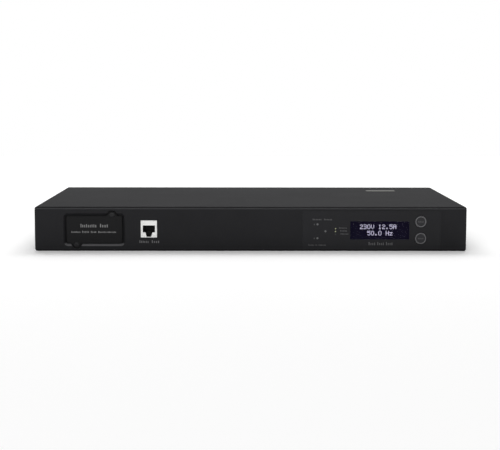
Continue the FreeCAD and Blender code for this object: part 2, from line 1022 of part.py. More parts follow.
def display_board_screws():
    """Self-tapping screws that hold the display board to the bosses of the bezel, from behind."""
    seat = display_board_y + board_thick
    screws = []
    for x, z in display_bosses:
        head = sided_rod("y", x, z, 2 * display_screw_radius, seat, seat + m3_head_height)
        shank = sided_rod("y", x, z, display_screw_radius, seat - display_screw_length, seat)
        screws.append(join(head, [shank]))
    return screws


def source_light_pipes():
    """Clear bars from the display board to the back of the overlay, one behind each source lamp window."""
    front = front_y + overlay_thick - overlay_proud
    return [slab(x, z, lamp_pipe, lamp_pipe, 0, front, display_board_y) for x, z in lamps]


def status_light_pipe():
    """One clear comb: a prong behind each status window, joined by a bar in front of the board."""
    front = front_y + overlay_thick - overlay_proud
    prongs = [slab(x, z, status_pipe, status_pipe, 0, front, display_board_y) for x, z in status_lamps]
    return join(prongs[0], [*prongs[1:], status_comb(0, front_y + bezel_wall, display_board_y)])


# Keys
def key_cap(z):
    """A round cap, a six-sided collar that keeps it from falling out, and a stem."""
    front = front_y - key_proud
    collar = front_y + bezel_wall + fold_gap
    rim = key_radius - key_round
    profile = [
        (0, front),
        (rim, front),
        (key_radius, front + key_round),
        (key_radius, collar),
        (0, collar),
    ]
    cap = turned_y(profile, keys_x, z)
    wide = hexagon("y", keys_x, z, key_collar_flats, collar, collar + key_collar)
    stem = slab(keys_x, z, key_stem_side, key_stem_side, 0, collar + key_collar, plunger_y)
    return join(cap, [wide, stem])


def key_plunger(z):
    return slab(keys_x, z, plunger_side, plunger_side, 0, plunger_y, switch_y + plunger_inside)


def key_switch(z):
    housing = slab(keys_x, z, switch_side, switch_side, 0, switch_y, display_board_y)
    bore = plunger_side + 2 * plunger_fit
    depth = plunger_inside + key_travel + plunger_fit
    return housing.cut(slab(keys_x, z, bore, bore, 0, switch_y - 1, switch_y + depth))


# Serial jack on the interface board
def serial_jack():
    y0 = front_y - jack_proud
    body = block(
        jack_x - jack_width / 2,
        jack_x + jack_width / 2,
        y0,
        y0 + jack_length,
        jack_floor,
        jack_floor + jack_height,
    )
    floor = jack_floor + plug_above_floor
    plug = block(
        jack_x - plug_width / 2, jack_x + plug_width / 2, y0 - 1, y0 + plug_depth, floor, floor + plug_height
    )
    latch = prism(
        [
            (jack_x - latch_bottom / 2, jack_floor + latch_floor),
            (jack_x + latch_bottom / 2, jack_floor + latch_floor),
            (jack_x + latch_top / 2, floor),
            (jack_x + latch_top / 2, floor + 1),
            (jack_x - latch_top / 2, floor + 1),
            (jack_x - latch_top / 2, floor),
        ],
        0,
        "xz",
        y0 - 1,
        y0 + latch_depth,
    )
    return take(body, [plug, latch])


def serial_contacts():
    """Sprung wires under the roof of the jack, which dip towards its back."""
    roof = jack_floor + plug_above_floor + plug_height
    y0 = front_y - jack_proud + 3
    y1 = front_y - jack_proud + plug_depth
    contacts = []
    for i in range(contact_count):
        x = jack_x + (i - (contact_count - 1) / 2) * contact_pitch
        points = [
            (y0, roof),
            (y1, roof - contact_drop + contact_thick),
            (y1, roof - contact_drop),
            (y0, roof - contact_thick),
        ]
        contacts.append(prism(points, 0, "yz", x - contact_width / 2, x + contact_width / 2))
    return contacts


# Boards, pillars and screws
def interface_board():
    board = block(interface_x0, interface_x1, interface_y0, interface_y1, interface_z, interface_top)
    return take(board, board_drills(interface_mounts(), interface_z, interface_top))


def power_board():
    board = block(power_x0, power_x1, power_y0, power_y1, power_z, power_top)
    return take(board, board_drills(power_mounts(), power_z, power_top))


def interface_mounts():
    """The board's fixing points: one in the front corner beside the slot and two at the back."""
    near = interface_y0 + pillar_inset
    far = interface_y1 - pillar_inset
    return [
        (interface_x0 + pillar_inset, near),
        (interface_x0 + pillar_inset, far),
        (interface_x1 - pillar_inset, far),
    ]


def power_mounts():
    xs = (power_x0 + pillar_inset, power_x1 - pillar_inset)
    ys = (power_y0 + pillar_inset, power_y1 - pillar_inset - terminal_size[1])
    return [(x, y) for x in xs for y in ys]


def board_drills(mounts, z0, z1):
    return [sided_rod("z", x, y, m3_hole, z0 - 1, z1 + 1) for x, y in mounts]


def board_pillars():
    pillars = []
    for mounts, height in ((interface_mounts(), interface_z), (power_mounts(), power_z)):
        for x, y in mounts:
            post = hexagon("z", x, y, pillar_flats, sheet, height)
            pillars.append(post.cut(sided_rod("z", x, y, pillar_bore, height - power_pillar + 1, height + 1)))
    return pillars


def board_screws():
    screws = []
    for mounts, top in ((interface_mounts(), interface_top), (power_mounts(), power_top)):
        for x, y in mounts:
            head = sided_rod("z", x, y, m3_head_radius, top, top + m3_head_height)
            shank = sided_rod("z", x, y, m3_radius, top - board_thick - power_pillar / 2, top)
            screws.append(join(head, [shank]))
    return screws


# Parts on the power board
def relays():
    return [
        block_at(
            power_x0 + relay_from_left + relay_size[0] / 2 + i * relay_pitch_x,
            power_y0 + relay_first_y + j * relay_pitch_y,
            power_top,
            relay_size,
        )
        for i in range(relay_count)
        for j in range(2)
    ]


def logic_supplies():
    x = power_x1 - supply_from_right
    return [
        block_at(x, power_y0 + supply_first_y + i * supply_pitch_y, power_top, supply_size) for i in range(2)
    ]


def current_sensor():
    """A moulded sensor on the board, with the line conductor as a copper link through its window."""
    x, y = power_x1 - sensor_from_right, power_y1 - sensor_from_rear
    middle = power_top + sensor_size[2] / 2
    body = block_at(x, y, power_top, sensor_size)
    window = slab(x, middle, 2 * sensor_hole, 2 * sensor_hole, 0, y - sensor_size[1], y + sensor_size[1])
    return body.cut(window)


def sensor_bridge():
    """The copper link: through the sensor's window and down to the board at both ends."""
    x, y = power_x1 - sensor_from_right, power_y1 - sensor_from_rear
    middle = power_top + sensor_size[2] / 2
    reach = sensor_size[1] / 2 + sensor_link + 1
    outer = block(x - 3, x + 3, y - reach, y + reach, power_top, middle + sensor_link / 2)
    inside = reach - sensor_link
    inner = block(x - 4, x + 4, y - inside, y + inside, power_top - 1, middle - sensor_link / 2)
    return outer.cut(inner)


def filter_capacitors():
    x, y = power_x1 - capacitor_from_right, power_y0 + capacitor_y
    return [
        block_at(x + i * capacitor_pitch, y, power_top, capacitor_size) for i in range(capacitor_count)
    ]


def varistors():
    """Disc varistors that stand on their lower edge in the board."""
    discs = []
    for i in range(varistor_count):
        x = power_x1 - varistor_from_right + i * varistor_pitch
        y = power_y1 - varistor_from_rear
        disc = sided_rod(
            "x", y, power_top + varistor_radius, varistor_radius, x, x + varistor_thick, shown_sides
        )
        foot = block(x, x + varistor_thick, y - 3, y + 3, power_top, power_top + 2)
        discs.append(join(disc, [foot]))
    return discs


def controller_chips():
    return [
        block_at(power_x1 - chip_from_right + i * chip_pitch, power_y0 + chip_y, power_top, chip_size)
        for i in range(chip_count)
    ]


def terminal_blocks():
    """Blocks at the back edge of the power board: one behind each inlet and one for the busbars."""
    y = rear_y - terminal_from_rear - terminal_size[1] / 2
    return [block_at(x, y, power_top, terminal_size) for x in [*inlet_xs, output_x()]]


def output_x():
    """The output block stands near the left end of the power board."""
    return power_x0 + output_block_from_left


# Ribbon cables and their headers
def ribbon(points, radii, plane, start, width):
    return prism(points, radii, plane, start, start + width)


def display_header_z():
    return mid_z + 3


def display_ribbon_y():
    return power_y0 + header_size[1]


def display_ribbon():
    """From the display board straight back, then down into a header on the power board."""
    z = display_header_z()
    t = ribbon_thick / 2
    start = display_board_y + board_thick + header_size[2]
    end = display_ribbon_y()
    top = power_top + header_size[2]
    points = [
        (start, z - t),
        (end - t, z - t),
        (end - t, top),
        (end + t, top),
        (end + t, z + t),
        (start, z + t),
    ]
    radii = [0, ribbon_bend - t, 0, 0, ribbon_bend + t, 0]
    return ribbon(points, radii, "yz", overlay_x - ribbon_width / 2, ribbon_width)


def interface_header_x():
    return interface_x1 - header_size[1]


def power_header_x():
    return power_x0 + header_size[1]


def interface_header_y():
    return interface_y1 - 2 * pillar_inset - header_size[0]


def interface_ribbon():
    """An arch from the interface board over to the power board."""
    t = ribbon_thick / 2
    x0, x1 = interface_header_x(), power_header_x()
    z0 = interface_top + header_size[2]
    z1 = power_top + header_size[2]
    top = z0 + 2 * ribbon_bend
    points = [
        (x0 - t, z0),
        (x0 - t, top + t),
        (x1 + t, top + t),
        (x1 + t, z1),
        (x1 - t, z1),
        (x1 - t, top - t),
        (x0 + t, top - t),
        (x0 + t, z0),
    ]
    wide, tight = ribbon_bend + t, ribbon_bend - t
    radii = [0, wide, wide, 0, 0, tight, tight, 0]
    return ribbon(points, radii, "xz", interface_header_y() - ribbon_width / 2, ribbon_width)


def ribbon_headers():
    upright = (header_size[1], header_size[0], header_size[2])
    back = display_board_y + board_thick
    return [
        block(
            overlay_x - header_size[0] / 2,
            overlay_x + header_size[0] / 2,
            back,
            back + header_size[2],
            display_header_z() - header_size[1] / 2,
            display_header_z() + header_size[1] / 2,
        ),
        block_at(overlay_x, display_ribbon_y(), power_top, header_size),
        block_at(interface_header_x(), interface_header_y(), interface_top, upright),
        block_at(power_header_x(), interface_header_y(), power_top, upright),
    ]


# Expansion slot
def card_guides():
    """Two grooved rails on the interface board that take the edges of an expansion card."""
    rails = []
    y0 = interface_y0 + pillar_inset * 2
    for side in (-1, 1):
        inner = blank_x + side * card_width / 2 - side * card_groove_depth
        outer = inner + side * card_guide_thick
        x0, x1 = sorted((inner, outer))
        rail = block(x0, x1, y0, y0 + card_guide_length, interface_top, interface_top + card_guide_height)
        g0, g1 = sorted((inner - side, inner + side * card_groove_depth))
        z = interface_top + card_groove_z
        groove = block(g0, g1, y0 - 1, y0 + card_guide_length + 1, z - card_groove / 2, z + card_groove / 2)
        rails.append(rail.cut(groove))
    return rails


def card_connector():
    y = interface_y1 - card_connector_size[1] / 2 - 1
    return block_at(blank_x, y, interface_top, card_connector_size)


# Mains sockets
def socket_shell(x, flange, body, depth):
    """Flange outside the rear wall, body through it, and a sprung wing on each narrow side behind it."""
    rim = prism(chamfered(x, socket_z, flange, flange_corner), 0, "xz", rear_y, face_y)
    trunk = slab(x, socket_z, body[0], body[1], 0, face_y - depth, rear_y)
    wings = []
    for side in (-1, 1):
        root = socket_z + side * body[1] / 2
        tip = root + side * wing_thick
        near = rear_y - sheet - fold_gap
        far = near - wing_length
        points = [(far, root - side * 0.2), (near, root - side * 0.2), (near, tip), (far, root)]
        wings.append(prism(points, 0, "yz", x - wing_width / 2, x + wing_width / 2))
    return join(trunk, [rim, *wings])


def contact_places(spread, offset):
    """Line, neutral and earth, as shifts in X and Z from the middle of a socket."""
    return ((-offset, spread), (-offset, -spread), (offset, 0))


def outlet(x, flange, body, depth, well, core, well_depth, slot, places, far):
    """An outlet: a deep well with a core that stands in it, and three contact slots in the core."""
    shell = socket_shell(x, flange, body, depth)
    recess = prism(cut_corners(x, socket_z, well, far), 0, "xz", face_y - well_depth, face_y + 1)
    pillar = prism(
        cut_corners(x, socket_z, core, far * 0.85), 0, "xz", face_y - well_depth - 1, face_y - core_recess
    )
    slots = [
        slab(x + dx, socket_z + dz, slot[0], slot[1], 0, face_y - core_recess - slot_depth, face_y + 1)
        for dx, dz in places
    ]
    return take(join(shell.cut(recess), [pillar]), slots)


def small_outlet(x):
    places = contact_places(small_spread, small_offset)
    return outlet(
        x,
        small_flange,
        small_body,
        small_depth,
        small_well,
        small_core,
        small_well_depth,
        small_slot,
        places,
        small_chamfer,
    )


def large_outlet(x):
    places = contact_places(large_spread, large_offset)
    return outlet(
        x,
        large_flange,
        large_body,
        large_depth,
        large_well,
        large_core,
        large_well_depth,
        large_slot,
        places,
        large_cut,
    )


def inlet(x):
    """An inlet: an open well with three blades that stand in it."""
    shell = socket_shell(x, large_flange, large_body, inlet_depth)
    well = prism(
        chamfered(x, socket_z, inlet_well, inlet_corner), 0, "xz", face_y - large_well_depth, face_y + 1
    )
    slots = [
        slab(x + dx, socket_z + dz, blade_size[0], blade_size[1], 0, face_y - inlet_depth - 1, face_y)
        for dx, dz in contact_places(large_spread, large_offset)
    ]
    return take(shell, [well, *slots])


def inlet_blades():
    """Each blade stands in the well of its inlet and ends behind the body as the tab for its lead."""
    blades = []
    for x in inlet_xs:
        for dx, dz in contact_places(large_spread, large_offset):
            px, pz = x + dx, socket_z + dz
            w, tip = blade_size[0] / 2, face_y - blade_recess
            points = [
                (px - w, bus_y - bus_thick),
                (px + w, bus_y - bus_thick),
                (px + w, tip - blade_tip),
                (px + w - blade_tip, tip),
                (px - w + blade_tip, tip),
                (px - w, tip - blade_tip),
            ]
            blades.append(prism(points, 0, "xy", pz - blade_size[1] / 2, pz + blade_size[1] / 2))
    return blades


def outlet_tabs():
    """A tab behind each outlet contact, which ends against its busbar."""
    tabs = []
    for xs, depth, spread, offset in (
        (small_xs, small_depth, small_spread, small_offset),
        (large_xs, large_depth, large_spread, large_offset),
    ):
        for x in xs:
            for dx, dz in contact_places(spread, offset):
                z = socket_z + dz
                tabs.append(
                    block(
                        x + dx - tab_width / 2,
                        x + dx + tab_width / 2,
                        bus_y,
                        face_y - depth,
                        z - tab_thick / 2,
                        z + tab_thick / 2,
                    )
                )
    return tabs


def busbars():
    """Line, neutral and earth strips that run behind all the outlets."""
    x0 = small_xs[-1] - tab_width - bus_overhang
    x1 = large_xs[0] + tab_width + bus_overhang
    middles = [socket_z + dz for dz in (small_spread, 0, -small_spread)]
    return [
        block(x0, x1, bus_y - bus_thick, bus_y, z - bus_height / 2, z + bus_height / 2) for z in middles
    ]


def mains_leads():
    """Straight leads from the inlet blades and from the busbars to the terminal blocks."""
    y0 = rear_y - terminal_from_rear
    y1 = bus_y - bus_thick
    leads = []
    for x in inlet_xs:
        for dx, dz in contact_places(large_spread, large_offset):
            leads.append(sided_rod("y", x + dx, socket_z + dz, lead_radius, y0, y1))
    for dz in (small_spread, 0, -small_spread):
        leads.append(sided_rod("y", output_x(), socket_z + dz, lead_radius, y0, y1))
    return leads


# Earth screw, its nut and the lead to the earth busbar
def earth_screw():
    """A pan-head screw with its washer, through the rear wall from outside."""
    back = rear_y + earth_washer
    top = back + earth_head_height
    washer = sided_rod("y", earth_x, socket_z, earth_washer_radius, rear_y, back, shown_sides)
    head = screw_head("xz", earth_x, socket_z, (earth_head_radius, back), (earth_head_radius * 0.8, top))
    shank = sided_rod("y", earth_x, socket_z, earth_radius, rear_y - earth_length, rear_y + 0.5)
    return join(washer, [head, shank])


def earth_nut_part():
    back = rear_y - sheet
    nut = hexagon("y", earth_x, socket_z, earth_nut_flats, back - earth_nut, back)
    return nut.cut(sided_rod("y", earth_x, socket_z, earth_radius + 0.05, back - earth_nut - 1, back + 1))


def earth_lead():
    """A flat copper braid from the end of the earth busbar to the earth screw."""
    x_screw = earth_x
    x_bus = small_xs[-1] - tab_width - bus_overhang
    end = rear_y - sheet - earth_nut
    t = bus_thick
    bar_y = bus_y - bus_thick
    points = [
        (x_bus, bar_y),
        (x_bus, bar_y + t),
        (x_screw + earth_nut_flats + t, bar_y + t),
        (x_screw + earth_nut_flats + t, end),
        (x_screw - earth_nut_flats / 2, end),
        (x_screw - earth_nut_flats / 2, end - t),
        (x_screw + earth_nut_flats, end - t),
        (x_screw + earth_nut_flats, bar_y),
    ]
    strap = prism(points, 0, "xy", socket_z - bus_height / 2, socket_z + bus_height / 2)
    return strap.cut(sided_rod("y", x_screw, socket_z, earth_radius + 0.05, end - 2 * t, end + t))


def lid_sticker():
    x = right_x - sticker_from_right
    y = front_y + sticker_from_front
    points = chamfered(x, y, (sticker_width, sticker_depth), sticker_corner)
    return prism(points, 0, "xy", body_height, body_height + sticker_thick)


def all_nodes():
    """Every piece by name. A list is a group of separate solids in one node."""
    nodes = {
        "chassis_tray": chassis_tray(),
        "top_cover": top_cover(),
        "lid_screws": lid_screws(),
        "lid_sticker": lid_sticker(),
        "ear_nuts": ear_nuts(),
        "front_bezel": front_bezel(),
        "blank_cover": blank_cover(),
        "blank_cover_screws": blank_cover_screws(),
        "control_overlay": control_overlay(),
        "display_lens": display_lens(),
        "display_frame": display_frame(),
        "display_glass": display_glass(),
        "display_backlight": display_backlight(),
        "display_board": display_board(),
        "display_board_screws": display_board_screws(),
        "source_light_pipes": source_light_pipes(),
        "status_light_pipe": status_light_pipe(),
        "select_key": key_cap(key_upper_z),
        "enter_key": key_cap(key_lower_z),
        "select_plunger": key_plunger(key_upper_z),
        "enter_plunger": key_plunger(key_lower_z),
        "key_switches": [key_switch(z) for z in (key_upper_z, key_lower_z)],
        "serial_jack": serial_jack(),
        "serial_contacts": serial_contacts(),
        "interface_board": interface_board(),
        "card_guides": card_guides(),
        "card_connector": card_connector(),
        "interface_ribbon": interface_ribbon(),
        "display_ribbon": display_ribbon(),
        "ribbon_headers": ribbon_headers(),
        "power_board": power_board(),
        "board_pillars": board_pillars(),
        "board_screws": board_screws(),
        "transfer_relays": relays(),
        "logic_supplies": logic_supplies(),
        "current_sensor": current_sensor(),
        "sensor_bridge": sensor_bridge(),
        "filter_capacitors": filter_capacitors(),
        "varistors": varistors(),
        "controller_chips": controller_chips(),
        "terminal_blocks": terminal_blocks(),
        "inlet_blades": inlet_blades(),
        "outlet_tabs": outlet_tabs(),
        "busbars": busbars(),
        "mains_leads": mains_leads(),
        "earth_screw": earth_screw(),
        "earth_nut": earth_nut_part(),
        "earth_strap": earth_lead(),
    }
    for name, x in zip(("inlet_a", "inlet_b"), inlet_xs):
        nodes[name] = inlet(x)
    for i, x in enumerate(large_xs):
        nodes[f"large_outlet_{i + 1}"] = large_outlet(x)
    for i, x in enumerate(small_xs):
        nodes[f"small_outlet_{i + 1}"] = small_outlet(x)
    return nodes


def main():
    os.makedirs("parts", exist_ok=True)
    for name, shape in all_nodes().items():
        if isinstance(shape, list):
            shape = Part.makeCompound(shape)
        shape.exportStep(f"parts/{name}.step")


if __name__ == "__main__":
    main()
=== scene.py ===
import json
import math

import bmesh
import bpy
from mathutils import Matrix, Vector


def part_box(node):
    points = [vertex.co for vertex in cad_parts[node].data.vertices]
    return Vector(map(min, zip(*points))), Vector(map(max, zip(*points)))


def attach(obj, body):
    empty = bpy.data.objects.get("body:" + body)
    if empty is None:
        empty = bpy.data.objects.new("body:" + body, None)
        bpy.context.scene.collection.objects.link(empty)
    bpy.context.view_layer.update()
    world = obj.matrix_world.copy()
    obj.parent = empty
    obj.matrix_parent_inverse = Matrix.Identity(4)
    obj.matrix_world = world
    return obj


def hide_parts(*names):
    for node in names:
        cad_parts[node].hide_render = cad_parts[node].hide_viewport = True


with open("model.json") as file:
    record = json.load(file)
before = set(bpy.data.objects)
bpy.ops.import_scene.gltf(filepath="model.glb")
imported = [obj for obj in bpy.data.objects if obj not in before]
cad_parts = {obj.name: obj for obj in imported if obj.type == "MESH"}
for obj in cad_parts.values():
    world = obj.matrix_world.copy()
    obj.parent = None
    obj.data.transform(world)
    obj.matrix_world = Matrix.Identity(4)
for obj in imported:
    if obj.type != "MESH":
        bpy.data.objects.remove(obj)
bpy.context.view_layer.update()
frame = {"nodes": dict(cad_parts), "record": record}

nodes = frame["nodes"]
bpy.ops.object.select_all(action="DESELECT")

mm = 0.001
hair = 1e-6  # in metres: points nearer than this are at the same place
square = 0.9  # a face looks squarely along an axis where its direction has more than this of it


def middle(nodeName):
    low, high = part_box(nodeName)
    return (Vector(low) + Vector(high)) / 2


# Colours and material nodes

def srgb(hexText):
    # a colour as a picker shows it, turned to the linear values that the shaders use
    text = hexText.lstrip("#")
    out = []
    for i in (0, 2, 4):
        c = int(text[i:i + 2], 16) / 255
        out.append(c / 12.92 if c <= 0.04045 else ((c + 0.055) / 1.055) ** 2.4)
    return (*out, 1.0)


def addNode(tree, kind, settings=None, **links):
    # settings are plain values by socket or attribute name, links are (node, output) by socket name
    node = tree.nodes.new(kind)
    for name, value in (settings or {}).items():
        if isinstance(name, int) or name in node.inputs:
            node.inputs[name].default_value = value
        else:
            setattr(node, name, value)
    for name, source in links.items():
        socket = name.replace("_", " ")
        number = socket.removeprefix("input")  # input0, input1 and so on count a node's sockets
        target = node.inputs[int(number) if number.isdigit() else socket]
        tree.links.new(source[0].outputs[source[1]], target)
    return node


# How grain and patches are mixed, the same for every finish
mixing = {
    "grainDetail": 2.0, "patchDetail": 3.0, "grainShare": 0.5, "patchShare": 0.5,
    "shadesAt": (0.38, 0.62),  # where on the mixed noise the first shade ends and the second starts
    "roughAt": (0.35, 0.65), "bump": 0.3,
}
# Painted highlight on faces whose direction rises by about this much: wholly within the first distance
# of it, and not at all past the second
highlightSlope = {"rise": 0.7, "within": (0.15, 0.4)}


def makeFinish(look):
    # two shades of one colour in soft patches, a fine grain in the bump, and a roughness that drifts with
    # the shade
    material = bpy.data.materials.new(look["name"])
    material.use_nodes = True
    tree = material.node_tree
    tree.nodes.clear()
    where = addNode(tree, "ShaderNodeTexCoord")
    lie = addNode(tree, "ShaderNodeMapping", {"Scale": look.get("stretch", (1, 1, 1))},
                  Vector=(where, "Object"))
    grain = addNode(tree, "ShaderNodeTexNoise",
                    {"Scale": 1 / (look["grainMm"] * mm), "Detail": mixing["grainDetail"]},
                    Vector=(lie, "Vector"))
    patch = addNode(tree, "ShaderNodeTexNoise",
                    {"Scale": 1 / (look["patchMm"] * mm), "Detail": mixing["patchDetail"]},
                    Vector=(where, "Object"))
    patches = addNode(tree, "ShaderNodeMath", {"operation": "MULTIPLY", 1: mixing["patchShare"]},
                      input0=(patch, "Fac"))
    blend = addNode(tree, "ShaderNodeMath", {"operation": "MULTIPLY_ADD", 1: mixing["grainShare"]},
                    input0=(grain, "Fac"), input2=(patches, "Value"))
    shade = addNode(tree, "ShaderNodeValToRGB", Fac=(blend, "Value"))
    for stop, at, colour in zip(shade.color_ramp.elements, mixing["shadesAt"], look["shades"]):
        stop.position = at
        stop.color = srgb(colour)
    rough = addNode(tree, "ShaderNodeMapRange",
                    {"From Min": mixing["roughAt"][0], "From Max": mixing["roughAt"][1],
                     "To Min": look["rough"][0], "To Max": look["rough"][1]},
                    Value=(blend, "Value"))
    colour = (shade, "Color")
    if "chamferHighlights" in look:
        # painted highlight: faces that slope up and forwards are painted paler than the rest, as if light
        # from above caught them, most of all low down
        facing = addNode(tree, "ShaderNodeSeparateXYZ",
                         Vector=(addNode(tree, "ShaderNodeNewGeometry"), "True Normal"))
        slope = addNode(tree, "ShaderNodeMath", {"operation": "SUBTRACT", 1: highlightSlope["rise"]},
                        input0=(facing, "Z"))
        away = addNode(tree, "ShaderNodeMath", {"operation": "ABSOLUTE"}, input0=(slope, "Value"))
        share = addNode(tree, "ShaderNodeMapRange",
                        {"From Min": highlightSlope["within"][0], "From Max": highlightSlope["within"][1],
                         "To Min": 1.0, "To Max": 0.0},
                        Value=(away, "Value"))
        height = addNode(tree, "ShaderNodeSeparateXYZ", Vector=(where, "Object"))
        higher = addNode(tree, "ShaderNodeMapRange",
                         {"From Min": look["lowMm"] * mm, "From Max": look["highMm"] * mm,
                          "To Min": 0.0, "To Max": 1.0},
                         Value=(height, "Z"))
        highlightShades = addNode(tree, "ShaderNodeMix",
                        {"data_type": "RGBA", 6: srgb(look["chamferHighlights"][0]), 7: srgb(look["chamferHighlights"][1])},
                        input0=(higher, "Result"))
        paintedHighlight = addNode(tree, "ShaderNodeMix", {"data_type": "RGBA"},
                           input0=(share, "Result"), input6=(shade, "Color"), input7=(highlightShades, 2))
        colour = (paintedHighlight, 2)
    bump = addNode(tree, "ShaderNodeBump",
                   {"Strength": mixing["bump"], "Distance": look["grainDepthMm"] * mm},
                   Height=(grain, "Fac"))
    shader = addNode(tree, "ShaderNodeBsdfPrincipled", look["set"],
                     Base_Color=colour, Roughness=(rough, "Result"), Normal=(bump, "Normal"))
    addNode(tree, "ShaderNodeOutputMaterial", Surface=(shader, "BSDF"))
    material.diffuse_color = srgb(look["shades"][1])
    return material


